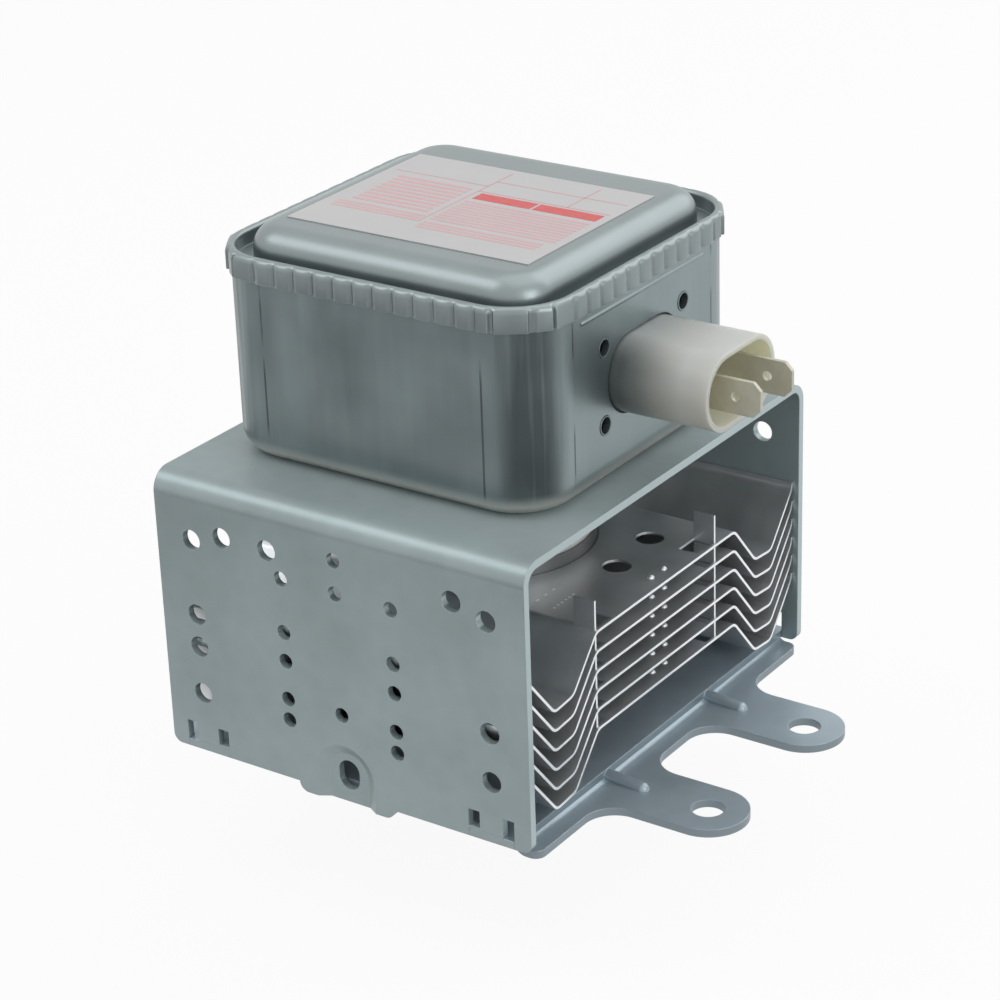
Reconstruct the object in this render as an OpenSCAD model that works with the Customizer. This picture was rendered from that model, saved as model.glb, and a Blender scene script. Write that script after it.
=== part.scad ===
// Packaged magnetron for a microwave oven, in millimetres.
// The origin is on the tube axis, in the plane of the underside of the mounting ears.
// +Z runs up to the filter box, -Y to the ears and the connector, -X to one perforated wall.

/* [Yoke] */
// Width across the two yoke walls
yoke_w = 95; // [92:0.5:110]
// Depth of the yoke, front opening to rear opening
yoke_d = 79.4; // [77:0.2:100]
// Height of the yoke, bottom edge of the walls to the top face
yoke_h = 54.5; // [53:0.5:60]
// Thickness of the yoke sheet
yoke_t = 1.5; // [1.2:0.1:2]
// Outside radius of the two yoke bends
bend_r = 4; // [2.5:0.5:6]
// Diameter of the large wall holes
wall_hole_d = 4; // [3:0.1:4.6]
// Diameter of the small wall holes
wall_pin_hole_d = 2.9; // [2:0.1:3.4]
// Width of the slot in the sunk seat at the foot of each wall
seat_hole_w = 4.5; // [3.5:0.1:5]
// Height of that slot
seat_hole_h = 5.8; // [5:0.1:6.6]
// Depth to which that seat is pressed in
seat_depth = 1.2; // [0.6:0.1:1.5]
// Width of the tab below each seat
tab_w = 21; // [18:0.5:26]

/* [Base plate] */
// Thickness of the base plate
base_t = 1.5; // [1.2:0.1:2]
// Drop of the mounting flanges below the wall edges
flange_drop = 2; // [1.6:0.1:3]
// Spacing of the two ear holes
ear_pitch = 35; // [33:0.5:50]
// Distance of the ear holes in front of the tube axis
ear_reach = 57; // [54:0.5:70]
// Width of an ear
ear_w = 15; // [12:0.5:17]
// Diameter of an ear hole
ear_hole_d = 6; // [4:0.1:7]
// Radius of the fillets between ear and flange
ear_fillet = 6; // [3:0.5:7]

/* [Tube] */
// Outside diameter of the anode
anode_d = 38.6; // [36:0.2:40]
// Wall of the anode
anode_wall = 2.3; // [1.5:0.1:3]
// Outside diameter of the sealing cups' necks
neck_d = 19; // [17:0.2:21]
// Number of vanes
vane_count = 10; // [8:2:14]
// Thickness of a vane
vane_t = 1.9; // [1.4:0.1:2.2]
// Height of a vane
vane_h = 9.5; // [8:0.5:11]
// Length of the antenna below the mounting plane
antenna_len = 22.5; // [18:0.5:30]
// Outside diameter of the antenna
antenna_d = 15.4; // [13:0.2:17]

/* [Magnets] */
// Outside diameter of the ring magnets
magnet_d = 47; // [44:0.5:47]
// Thickness of the ring magnets
magnet_h = 11.3; // [9:0.1:12]

/* [Cooling fins] */
// Thickness of the fin sheet
fin_t = 0.5; // [0.4:0.05:0.6]
// Spacing of the fins
fin_pitch = 3.82; // [3.4:0.02:4.2]
// Half width of the flat middle of a fin
fin_flat = 23.8; // [23.8:0.1:26]
// Depth of a fin, front edge to rear edge
fin_d = 77; // [72:0.5:77]
// Drop from the flat to the trough
fin_drop = 9.1; // [7:0.1:9.4]
// Height of the spacer flaps on the top fin
top_flap_h = 5.4; // [4:0.1:7]

/* [Filter box] */
// Width of the filter box
box_w = 68.4; // [66:0.2:80]
// Depth of the filter box
box_d = 69.4; // [68:0.2:76]
// Height of the box wall
box_h = 38.1; // [36:0.5:48]
// Thickness of the box sheet
box_t = 0.5; // [0.5:0.05:1]
// Corner radius of the box
box_rc = 11.5; // [10:0.5:14]
// Radius between floor and wall
box_rb = 4.5; // [3:0.5:6]
// How far the box sits behind the tube axis
box_shift = 0.5; // [0:0.1:1]

/* [Lid] */
// Thickness of the lid sheet
lid_t = 0.4; // [0.4:0.05:0.7]
// Height of the lid's dome above the crimped rim
dome_rise = 3.3; // [1.5:0.1:5]
// Distance from the box face in to the dome's side
dome_inset = 4; // [3:0.1:5]
// Edge radius of the dome
dome_r = 4.6; // [3:0.1:5]
// Height of the crimped skirt
skirt_h = 4.5; // [3.5:0.1:6]
// Width of one crimp flute
flute_pitch = 4.25; // [3:0.05:6]
// Depth of a crimp flute
flute_depth = 0.65; // [0.3:0.05:1]
// Width of the label
label_w = 40.5; // [30:0.5:44]
// Length of the label
label_l = 51; // [40:0.5:52]

/* [Connector] */
// Width of the oval connector shroud
shroud_w = 23.4; // [21:0.2:24]
// Height of the oval connector shroud
shroud_h = 14.2; // [13:0.2:16]
// How far the shroud stands out of the box
shroud_reach = 19.3; // [14:0.1:24]
// Wall of the shroud
shroud_t = 1; // [0.8:0.1:1.6]
// Height of the connector's axis above the yoke
connector_rise = 18.9; // [17:0.1:22]
// Spacing of the two terminals
terminal_pitch = 10.8; // [10:0.1:12]
// Width of a terminal tab
tab_blade_w = 6.35; // [4.8:0.05:6.4]
// Thickness of a terminal tab
tab_blade_t = 0.8; // [0.5:0.1:1]
// How far the tabs stand out past the shroud
tab_out = 7.1; // [4:0.1:10]

/* [Hidden] */
$fn = 64;
fit = 0.05;          // gap between pieces that are pressed or crimped together
slide = 0.3;         // gap round a piece that is dropped in
over = 1;            // how far a cut runs past the face it opens
fin_count = 6;

// Levels up the stack
wall_z = flange_drop;
base_top = wall_z + base_t;
yoke_top = wall_z + yoke_h;
yoke_ceiling = yoke_top - yoke_t;
tube_z0 = base_top + magnet_h;
tube_z1 = yoke_ceiling - magnet_h;
cup_t = 1.2;
anode_z0 = tube_z0 + cup_t;
anode_z1 = tube_z1 - cup_t;
tube_mid = (tube_z0 + tube_z1) / 2;
vane_z0 = tube_mid - vane_h / 2;
vane_z1 = tube_mid + vane_h / 2;
box_floor = yoke_top;
box_top = box_floor + box_h;
connector_z = yoke_top + connector_rise;

// Radii of the tube
anode_r = anode_d / 2;
anode_ri = anode_r - anode_wall;
neck_r = neck_d / 2;
neck_wall = 0.8;
neck_ri = neck_r - neck_wall;
neck_hole_r = neck_r + 2 * slide;
vane_ri = 4.5;
vane_step = 360 / vane_count;
pole_bore = 4.8;

// Yoke walls: the hole pattern is given as [along Y, height above the wall's edge]
inner_x = yoke_w / 2 - yoke_t;
column_side = 31.8;  // columns of large holes near the wall's two ends
column_mid = 11.9;   // columns of small holes either side of the middle
row_a = 12;
row_b = 16.2;
row_c = 21.5;
row_d = 23.8;
row_e = 28;
row_f = 29.5;
row_g = 40;
row_h = 42.8;
row_i = 44.8;
row_j = 46.4;
large_holes = [[column_side, row_a], [column_side, row_c], [column_side, row_e], [column_side, row_h],
    [-column_side, row_a], [-column_side, row_c], [-column_side, row_h],
    [24.8, row_i], [-24.8, row_i], [14.7, row_i]];
small_holes = [[column_mid, row_a], [column_mid, row_b], [column_mid, row_d], [column_mid, row_f],
    [column_mid, row_g], [0, row_b], [0, row_g], [0, row_j],
    [-column_mid, row_a], [-column_mid, row_b], [-column_mid, row_d], [-column_mid, row_f],
    [-column_mid, row_g]];

// Sunk seat and the tab below it
seat_land = 2.05;    // flat left beside the slot
seat_slope = 2.1;    // run of the sloped side of the seat
seat_r = seat_hole_w / 2 + seat_land + seat_slope;
seat_rise = 3.6;     // from the wall's edge up to the middle of the slot
seat_z = wall_z + seat_rise;
tab_z = 0.1;
wall_corner = 1.8;

// Lugs of the base plate, flush in notches at the foot of the walls, with two windows punched over each
notch_w = 9.6;
notch_y = 31.4;
lug_w = notch_w - 2 * fit;
window_w = 2.4;
window_top = 5.4;    // height of both windows' upper edges above the wall's edge
window_sill = 2.1;   // height of the inner window's lower edge

// Base plate
plate_half = inner_x - slide;
flange_edge = yoke_d / 2 + slide;
flange_w = 3.6;
joggle_run = 2;
joggle_round = 1;
joggle_y = flange_edge - flange_w;
flange_corner = 2;
gusset_r = 1.3;
gusset_len = 9;
gusset_sink = 0.1;   // how far the axis of the gusset's nose lies under the ear's face
seat_clear = seat_r + seat_slope + yoke_t + slide;

// Cooling fins
fin_z0 = tube_z0 + fit + fin_t / 2;
fin_end = inner_x - fit - fin_t / 2;
fin_fall_run = 7.7;  // run of the slope down from the flat
trough_w = 6;
trough_skew = 0.25;  // how far the trough's floor leans from level, to each side
fin_foot = fin_flat + fin_fall_run;
fin_rise = fin_foot + trough_w;
fin_round = 1.1;
lip_z = 0.3;
lip_h = 1.2;
collar_h = 2.4;
flap_d = 4.3;
flap_edge = 0.6;     // strip left between a flap and the fin's edge
flap_x = [-fin_flat + slide, 17.3];
fin_hole_d = 5.4;
fin_holes = [[0, -27.7], [13.2, -26.6]];
fin_bumps = [[-1, -35.4], [3.3, -35.4]];
bump_r = 0.8;

// Filter box and lid
box_y = box_shift;
box_front = box_y - box_d / 2;
box_inner_front = box_front + box_t;
bead_r = 0.4;
bead_len = 40;
bead_drop = 5.5;     // from the box's edge down to the bead pressed out of its front wall
rivet_r = 1.6;
rivet_head_r = 2.8;
rivet_head_h = 0.7;
rivet_inset = 12.5;
hem_r = (box_t + 2 * fit) / 2 + lid_t;
hem_z = box_top + fit;
rim_top = hem_z + hem_r;
hem_x = box_rc - box_t / 2;
flute_land = 0.3;    // width left on the ridge between two flutes
roll_r = flute_depth;
moat_depth = 3.5;
moat_z = hem_z - moat_depth;
dome_x = box_rc - dome_inset;
dome_z = rim_top + dome_rise;
label_t = 0.15;
label_x = -1.5;

// Connector
shroud_end = box_front - shroud_reach;
flange_t = 0.8;
flange_back = box_inner_front + flange_t;
flange_margin_x = 6;
flange_margin_z = 3.5;
eyelet_x = 13;
eyelet_z = 7.15;
eyelet_r = 1.75;
eyelet_bore = 1.5;
eyelet_out = 0.1;
rim_t = 1.2;
rim_w = 1.2;
web_t = 3;
web_out = 4;         // from the box's face out to the web inside the shroud
web_y = box_front - web_out;
rod_r = 1.1;
block_in = 4;        // how far the capacitor reaches in behind its flange
block_back = flange_back + block_in;
cover_t = 1;
cover_room = 5;      // filled space between the capacitor and its cover
cover_back = block_back + cover_room;
rod_out = 3;         // bare end of a rod behind the cover
rod_back = cover_back + rod_out;
blade_root = web_y - web_t - fit;
blade_tip = shroud_end - tab_out;
blade_lap = 2;       // length of the rod that lies on the blade
blade_chamfer = 1.4;
blade_hole_d = 1.8;
blade_hole_y = blade_tip + 4.8;

// Stem, leads and chokes
neck_rise = 4;       // height of the neck inside the box
neck_top = box_floor + box_t + neck_rise;
ceramic_h = 11;
ceramic_foot = 5;    // height of the ceramic's wide foot
ceramic_step = 1.2;
ceramic_edge = 0.5;
ceramic_top = neck_top + ceramic_h;
lead_out = 3;
lead_top = ceramic_top + lead_out;
lead_r = 0.7;
side_lead_x = 3.1;
hat_gap = 0.6;       // free height between a vane's edge and an end hat
hat_r = 3.9;
hat_h = 1.2;
hat_low = vane_z0 - hat_gap;
hat_high = vane_z1 + hat_gap;
coil_r = 2.1;
coil_wire_r = 0.35;
coil_turns = 8;
choke_x = 15;
choke_half = 12;
choke_r = 3.5;
choke_wire_r = 0.6;
choke_turns = 8;
ferrite_r = choke_r - choke_wire_r - fit * 4;
neck_low = -1.5;
antenna_r = antenna_d / 2;
antenna_ceramic_h = 7;
antenna_ceramic_t = 3;
seam_z = neck_low - antenna_ceramic_h;
cap_t = 0.6;
exhaust_len = 7;
exhaust_bore_z = seam_z - exhaust_len + 1;
probe_r = 0.5;       // rod that takes the power from one vane to the antenna
probe_x = 7.65;      // its distance from the axis, between the two straps

// Functions and shapes used by several pieces
function unit(v) = v / norm(v);
function tangent(p, i) = unit(p[min(i + 1, len(p) - 1)] - p[max(i - 1, 0)]);
function normal2(a, b) = let (d = unit(b - a)) [-d[1], d[0]];
// Point of an open line moved sideways by d, with mitred corners
function shifted(p, i, d) =
    let (a = normal2(p[max(i - 1, 0)], p[max(i, 1)]),
         b = normal2(p[min(i, len(p) - 2)], p[min(i + 1, len(p) - 1)]),
         m = unit(a + b))
    p[i] + m * d / (m * a);

// Open line with its corners rounded, each over the given length of the stretches beside it
function rounded_line(p, reach, steps = 4) = [for (i = [0:len(p) - 1]) each
    i == 0 || i == len(p) - 1 ? [p[i]] :
    let (a = p[i] + reach * unit(p[i - 1] - p[i]), b = p[i] + reach * unit(p[i + 1] - p[i]))
    [for (k = [0:steps]) let (s = k / steps) (1 - s) * (1 - s) * a + 2 * s * (1 - s) * p[i] + s * s * b]];

// Section of a bent sheet whose middle runs along an open line
module sheet_section(line, t) {
    last = len(line) - 1;
    polygon(concat([for (i = [0:last]) shifted(line, i, t / 2)],
        [for (i = [last:-1:0]) shifted(line, i, -t / 2)]));
}

// Round wire swept along a path; no stretch of the path may run along the given axis
module wire(path, r, axis, sides = 6) {
    n = len(path);
    points = [for (i = [0:n - 1])
        let (t = tangent(path, i), u = unit(cross(t, axis)), v = cross(t, u))
        for (k = [0:sides - 1]) path[i] + r * (cos(360 * k / sides) * u + sin(360 * k / sides) * v)];
    sides_a = [for (i = [0:n - 2], k = [0:sides - 1])
        [i * sides + k, (i + 1) * sides + k, (i + 1) * sides + (k + 1) % sides]];
    sides_b = [for (i = [0:n - 2], k = [0:sides - 1])
        [i * sides + k, (i + 1) * sides + (k + 1) % sides, i * sides + (k + 1) % sides]];
    ends = [[for (k = [0:sides - 1]) k], [for (k = [sides - 1:-1:0]) (n - 1) * sides + k]];
    polyhedron(points, concat(sides_a, sides_b, ends));
}

module ring(r_out, r_in, h) {
    difference() {
        cylinder(r = r_out, h = h);
        translate([0, 0, -over]) cylinder(r = r_in, h = h + 2 * over);
    }
}

module stadium(w, h) {
    square([w - h, h], center = true);
    for (s = [-1, 1]) translate([s * (w - h) / 2, 0]) circle(d = h);
}

// Stadium prism along Y, between two Y values, on the connector's axis
module stadium_bar(w, h, y0, y1) {
    translate([0, y1, connector_z]) rotate([90, 0, 0]) linear_extrude(y1 - y0) stadium(w, h);
}

// Quarter of a ring in the +X +Y quadrant
module quarter_ring(r, t) {
    intersection() {
        difference() {
            circle(r);
            circle(r - t);
        }
        square(r + over);
    }
}

// Sweeps a profile round the filter box; the profile's x = 0 lies on the corner centres
module round_box() {
    cx = box_w / 2 - box_rc;
    cy = box_d / 2 - box_rc;
    translate([0, box_y, 0]) {
        for (c = [[1, 1, 0], [-1, 1, 90], [-1, -1, 180], [1, -1, 270]])
            translate([c[0] * cx, c[1] * cy, 0]) rotate([0, 0, c[2]]) rotate_extrude(angle = 90) children();
        for (a = [0, 180])
            rotate([0, 0, a]) translate([cx, cy, 0]) rotate([90, 0, 0]) linear_extrude(2 * cy) children();
        for (a = [90, 270])
            rotate([0, 0, a]) translate([cy, cx, 0]) rotate([90, 0, 0]) linear_extrude(2 * cx) children();
    }
}

// Plate that closes the middle of such a sweep
module box_middle(z, t) {
    translate([-box_w / 2 + box_rc, box_y - box_d / 2 + box_rc, z])
        cube([box_w - 2 * box_rc, box_d - 2 * box_rc, t]);
}

// Yoke and base plate
module arch(w, h, r) {
    translate([-w / 2, 0]) square([w, h - r]);
    translate([-w / 2 + r, 0]) square([w - 2 * r, h]);
    for (s = [-1, 1]) translate([s * (w / 2 - r), h - r]) circle(r);
}

// Shape of the sunk seat: a cone frustum over a straight-sided channel; r is its radius at depth 0
module seat_shape(r, depth, foot) {
    intersection() {
        rotate([0, 90, 0]) cylinder(r1 = r, r2 = r - seat_slope, h = depth);
        translate([0, -r, 0]) cube([depth, 2 * r, r]);
    }
    translate([0, 0, foot - seat_z]) linear_extrude(seat_z - foot)
        polygon([[0, -r], [0, r], [depth, r - seat_slope], [depth, -r + seat_slope]]);
}

module wall_tab() {
    r = wall_z - tab_z;
    translate([-yoke_w / 2, 0, 0]) rotate([90, 0, 90]) linear_extrude(yoke_t) {
        translate([-tab_w / 2 + r, tab_z]) square([tab_w - 2 * r, r + over]);
        for (s = [-1, 1]) translate([s * (tab_w / 2 - r), wall_z]) circle(r);
    }
}

// Rounds off one lower corner of a wall
module wall_corner_cut() {
    translate([-yoke_w / 2 - over, yoke_d / 2 - wall_corner, wall_z + wall_corner]) rotate([90, 0, 90])
        linear_extrude(yoke_t + 2 * over) difference() {
            translate([0, -wall_corner - over]) square(wall_corner + over);
            circle(wall_corner);
        }
}

module wall_cuts() {
    x = -yoke_w / 2 - over;
    cut = yoke_t + 2 * over;
    for (p = large_holes) translate([x, p[0], wall_z + p[1]]) rotate([0, 90, 0])
        cylinder(d = wall_hole_d, h = cut);
    for (p = small_holes) translate([x, p[0], wall_z + p[1]]) rotate([0, 90, 0])
        cylinder(d = wall_pin_hole_d, h = cut);
    for (s = [0, 1]) mirror([0, s, 0]) {
        wall_corner_cut();
        translate([x, notch_y - notch_w / 2, wall_z - over]) cube([cut, notch_w, base_t + fit + over]);
        translate([x, notch_y + notch_w / 2 - window_w, wall_z]) cube([cut, window_w, window_top]);
        translate([x, notch_y - notch_w / 2, wall_z + window_sill])
            cube([cut, window_w, window_top - window_sill]);
    }
}

module wall_features() {
    difference() {
        union() {
            children();
            wall_tab();
            translate([-inner_x, 0, seat_z]) seat_shape(seat_r + seat_slope, seat_depth, tab_z);
        }
        wall_cuts();
        translate([-yoke_w / 2, 0, seat_z]) seat_shape(seat_r, seat_depth, tab_z - over);
        translate([-yoke_w / 2 - over, 0, seat_z]) rotate([90, 0, 90])
            linear_extrude(yoke_t + seat_depth + 2 * over) rotate(90) stadium(seat_hole_h, seat_hole_w);
    }
}

module yoke_frame() {
    color("#8d9797")
        difference() {
            wall_features() rotate([0, 0, 180]) wall_features()
                translate([0, yoke_d / 2, wall_z]) rotate([90, 0, 0]) linear_extrude(yoke_d) difference() {
                    arch(yoke_w, yoke_h, bend_r);
                    translate([0, -over]) arch(2 * inner_x, yoke_h - yoke_t + over, bend_r - yoke_t);
                }
            translate([0, 0, yoke_ceiling - over]) cylinder(r = neck_hole_r, h = yoke_t + 2 * over);
            rivet_places() translate([0, 0, yoke_ceiling - over])
                cylinder(r = rivet_r + fit, h = yoke_t + 2 * over);
        }
}

// Half of the base plate's section: joggled down to the mounting flange along +Y
module plate_profile() {
    middle = base_t / 2;
    sheet_section(rounded_line([[0, wall_z + middle], [joggle_y - joggle_run, wall_z + middle],
        [joggle_y, middle], [flange_edge, middle]], joggle_round), base_t);
}

module flange_corner_cut() {
    difference() {
        square(flange_corner + over);
        circle(flange_corner);
    }
}

module ear_outline() {
    root = flange_edge - flange_corner;
    translate([-ear_w / 2, root]) square([ear_w, ear_reach - root]);
    translate([0, ear_reach]) circle(d = ear_w);
    for (s = [0, 1]) mirror([s, 0]) translate([ear_w / 2, flange_edge]) difference() {
        square(ear_fillet);
        translate([ear_fillet, ear_fillet]) circle(ear_fillet);
    }
}

// Pressed gusset that stiffens the step between plate and ear: flush with the plate, proud of the ear
module gusset() {
    y0 = joggle_y - joggle_run;
    z0 = base_top - gusset_r;
    z1 = base_t - gusset_sink;
    slope = atan2(z0 - z1, gusset_len);
    end = y0 + gusset_len + 2 * gusset_r;
    intersection() {
        union() {
            translate([0, y0, z0]) rotate([-90 - slope, 0, 0])
                cylinder(r = gusset_r, h = gusset_len / cos(slope));
            translate([0, y0 + gusset_len, z1]) sphere(gusset_r);
        }
        translate([-2 * gusset_r, 0, 0]) rotate([90, 0, 90]) linear_extrude(4 * gusset_r)
            polygon([[y0, base_top + over], [y0, base_top - base_t / 2], [joggle_y, base_t / 2],
                [end, base_t / 2], [end, base_top + over]]);
    }
}

module base_plate() {
    color("#858f90")
        difference() {
            union() {
                translate([-plate_half, 0, wall_z]) cube([2 * plate_half, yoke_d / 2, base_t]);
                mirror([0, 1, 0]) translate([-plate_half, 0, 0]) rotate([90, 0, 90])
                    linear_extrude(2 * plate_half) plate_profile();
                mirror([0, 1, 0]) for (s = [-1, 1]) translate([s * ear_pitch / 2, 0, 0]) {
                    linear_extrude(base_t) ear_outline();
                    gusset();
                }
                for (s = [-1, 1])
                    translate([-yoke_w / 2, s * notch_y - lug_w / 2, wall_z])
                        cube([yoke_w, lug_w, base_t]);
            }
            for (s = [0, 1]) mirror([s, 0, 0]) {
                mirror([0, 1, 0])
                    translate([plate_half - flange_corner, flange_edge - flange_corner, -over])
                        linear_extrude(base_t + 2 * over) flange_corner_cut();
                translate([inner_x - seat_depth - slide, -seat_clear, wall_z - over])
                    cube([seat_depth + yoke_t, 2 * seat_clear, base_t + 2 * over]);
            }
            translate([0, 0, wall_z - over]) cylinder(r = neck_hole_r, h = base_t + 2 * over);
            for (s = [-1, 1]) translate([s * ear_pitch / 2, -ear_reach, -over])
                cylinder(d = ear_hole_d, h = base_t + 2 * over);
        }
}

// Magnets and fins
module ring_magnet(z) {
    chamfer = 1;
    bore = neck_r + 1;
    color("#3b3d40") translate([0, 0, z]) rotate_extrude()
        polygon([[bore, 0], [magnet_d / 2 - chamfer, 0], [magnet_d / 2, chamfer],
            [magnet_d / 2, magnet_h - chamfer], [magnet_d / 2 - chamfer, magnet_h], [bore, magnet_h]]);
}

// Section of a fin's right half, from the middle to the lip along the yoke wall
fin_line = [[0, 0], [fin_flat, 0], [fin_foot, -fin_drop + trough_skew], [fin_rise, -fin_drop - trough_skew],
    [fin_end, lip_z], [fin_end, lip_z + lip_h]];

module fin_section() {
    for (s = [0, 1]) mirror([s, 0]) sheet_section(rounded_line(fin_line, fin_round), fin_t);
}

// What is lanced at the front edge; the rear edge has the same, turned half round
module fin_end_cuts(flap_h) {
    y = -fin_d / 2 + flap_edge;
    for (x = flap_x) translate([x > 0 ? x - flap_h : x + fin_t, y, -over]) cube([flap_h, flap_d, 2 * over]);
    for (p = fin_holes) translate([p[0], p[1], -over]) cylinder(d = fin_hole_d, h = 2 * over);
}

module fin_end_flaps(flap_h) {
    y = -fin_d / 2 + flap_edge;
    for (x = flap_x) translate([x, y, -fin_t / 2]) cube([fin_t, flap_d, fin_t + flap_h]);
    for (p = fin_bumps) translate([p[0], p[1], fin_t / 2 - bump_r / 4]) sphere(bump_r);
}

// Fin number 1 is the top one
module cooling_fin(number) {
    flap_h = number == 1 ? top_flap_h : fin_pitch - fin_t - slide;
    bore = anode_r + fit;
    color("#c9cdcf") translate([0, 0, fin_z0 + (fin_count - number) * fin_pitch])
        difference() {
            union() {
                difference() {
                    translate([0, fin_d / 2, 0]) rotate([90, 0, 0]) linear_extrude(fin_d) fin_section();
                    for (a = [0, 180]) rotate([0, 0, a]) fin_end_cuts(flap_h);
                }
                for (a = [0, 180]) rotate([0, 0, a]) fin_end_flaps(flap_h);
                translate([0, 0, -fin_t / 2]) cylinder(r = bore + fin_t, h = fin_t + collar_h);
            }
            translate([0, 0, -over]) cylinder(r = bore, h = collar_h + 2 * over);
        }
}

// Vacuum tube
module anode_cylinder() {
    color("#b4b9ba") translate([0, 0, anode_z0]) ring(anode_r, anode_ri, anode_z1 - anode_z0);
}

strap_h = 1;
strap_t = 0.9;
strap_radii = [6.2, 8.2];

// Grooves for the straps: tight on every other vane, wide on the rest
module strap_grooves(index) {
    for (j = [0, 1], side = [-1, 1]) {
        gap = (index + j + (side + 1) / 2) % 2 == 0 ? 0 : slide;
        z = side > 0 ? vane_z1 - strap_h - gap : vane_z0 - over;
        translate([0, 0, z]) ring(strap_radii[j] + strap_t + gap, strap_radii[j] - gap, strap_h + gap + over);
    }
}

module anode_vanes() {
    color("#b0713f") for (i = [0:vane_count - 1]) difference() {
        intersection() {
            rotate([0, 0, (i + 0.5) * vane_step]) translate([vane_ri, -vane_t / 2, vane_z0])
                cube([anode_r, vane_t, vane_h]);
            translate([0, 0, anode_z0]) cylinder(r = anode_ri, h = anode_z1 - anode_z0);
        }
        strap_grooves(i);
    }
}

module strap_rings() {
    color("#c58a58") for (r = strap_radii, side = [-1, 1])
        translate([0, 0, side > 0 ? vane_z1 - strap_h : vane_z0]) ring(r + strap_t, r, strap_h);
}

// Funnel-shaped iron disc that leads the field to the vanes
module pole_piece() {
    disc = 1.6;
    land = 3.5;
    flat_w = 4.5;
    flat_under_w = 5.6;
    tip_gap = 2.2;
    tip_z = vane_z0 - tip_gap;
    rotate_extrude()
        polygon([[pole_bore, tip_z - disc], [pole_bore, tip_z], [pole_bore + land, tip_z],
            [anode_ri - flat_w, anode_z0 + disc], [anode_ri - fit, anode_z0 + disc],
            [anode_ri - fit, anode_z0], [anode_ri - flat_under_w, anode_z0]]);
}

module lower_pole_piece() {
    color("#7d8386") difference() {
        pole_piece();
        rotate([0, 0, vane_step / 2]) translate([probe_x, 0, anode_z0])
            cylinder(r = probe_r + slide, h = vane_z0 - anode_z0);
    }
}

module upper_pole_piece() {
    color("#7d8386") translate([0, 0, 2 * tube_mid]) mirror([0, 0, 1]) pole_piece();
}

module lower_sealing_cup() {
    color("#a8adb0") rotate_extrude()
        polygon([[neck_ri, anode_z0], [anode_r, anode_z0], [anode_r, tube_z0], [neck_r, tube_z0],
            [neck_r, neck_low], [neck_ri, neck_low]]);
}

module upper_sealing_cup() {
    color("#a8adb0") rotate_extrude()
        polygon([[neck_ri, anode_z1], [anode_r, anode_z1], [anode_r, tube_z1], [neck_r, tube_z1],
            [neck_r, neck_top], [neck_ri, neck_top]]);
}

module filament_coil() {
    steps = 12;
    rise = hat_high - hat_low - 2 * coil_wire_r;
    path = [for (i = [0:coil_turns * steps])
        [coil_r * cos(360 * i / steps), coil_r * sin(360 * i / steps),
         hat_low + coil_wire_r + rise * i / (coil_turns * steps)]];
    color("#6f6a66") wire(path, coil_wire_r, [0, 0, 1]);
}

module lower_end_hat() {
    color("#8b8f93") translate([0, 0, hat_low - hat_h]) cylinder(r = hat_r, h = hat_h);
}

module upper_end_hat() {
    color("#8b8f93") translate([0, 0, hat_high]) ring(hat_r, lead_r + slide, hat_h);
}

module centre_lead() {
    color("#93979b") translate([0, 0, hat_low]) cylinder(r = lead_r, h = lead_top - hat_low);
}

module side_lead() {
    foot = hat_high + hat_h;
    color("#93979b") translate([side_lead_x, 0, foot]) cylinder(r = lead_r, h = lead_top - foot);
}

module stem_ceramic() {
    top_r = neck_r - ceramic_step;
    color("#ece9e2") difference() {
        rotate_extrude() polygon([[0, neck_top], [neck_r, neck_top], [neck_r, neck_top + ceramic_foot],
            [top_r, neck_top + ceramic_foot + ceramic_step], [top_r, ceramic_top - ceramic_edge],
            [top_r - ceramic_edge, ceramic_top], [0, ceramic_top]]);
        for (x = [0, side_lead_x]) translate([x, 0, neck_top - over])
            cylinder(r = lead_r + fit, h = ceramic_h + 2 * over);
    }
}

// Runs from one vane through the lower pole piece, then down the axis to the pinched exhaust tube
module antenna_lead() {
    bend_z = anode_z0;
    axis_z = bend_z - probe_x;
    color("#b87a4b") rotate([0, 0, vane_step / 2]) {
        translate([probe_x, 0, bend_z]) cylinder(r = probe_r, h = vane_z0 - bend_z);
        translate([probe_x, 0, bend_z]) sphere(probe_r);
        translate([0, 0, axis_z]) rotate([0, 45, 0]) cylinder(r = probe_r, h = probe_x * sqrt(2));
        translate([0, 0, axis_z]) sphere(probe_r);
        translate([0, 0, exhaust_bore_z]) cylinder(r = probe_r, h = axis_z - exhaust_bore_z);
    }
}

module antenna_ceramic() {
    color("#efe9df") translate([0, 0, seam_z])
        ring(antenna_r, antenna_r - antenna_ceramic_t, antenna_ceramic_h);
}

module exhaust_tube() {
    disc = 0.8;
    tube_r = 2.4;
    pinch_h = 2;
    pinch_t = 1.6;
    color("#b87a4b") difference() {
        union() {
            translate([0, 0, seam_z - disc]) cylinder(r = antenna_r - 2 * cap_t, h = disc);
            translate([0, 0, seam_z - exhaust_len]) cylinder(r = tube_r, h = exhaust_len);
            translate([-tube_r, -pinch_t / 2, seam_z - exhaust_len - pinch_h])
                cube([2 * tube_r, pinch_t, pinch_h + over]);
        }
        translate([0, 0, exhaust_bore_z]) cylinder(r = probe_r + slide, h = exhaust_len);
    }
}

module antenna_cap() {
    edge = 2.5;
    h = antenna_len + seam_z;
    color("#b9bdbf") translate([0, 0, -antenna_len]) rotate_extrude() {
        translate([antenna_r - cap_t, edge]) square([cap_t, h - edge]);
        square([antenna_r - edge, cap_t]);
        translate([antenna_r - edge, edge]) mirror([0, 1]) quarter_ring(edge, cap_t);
    }
}

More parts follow.
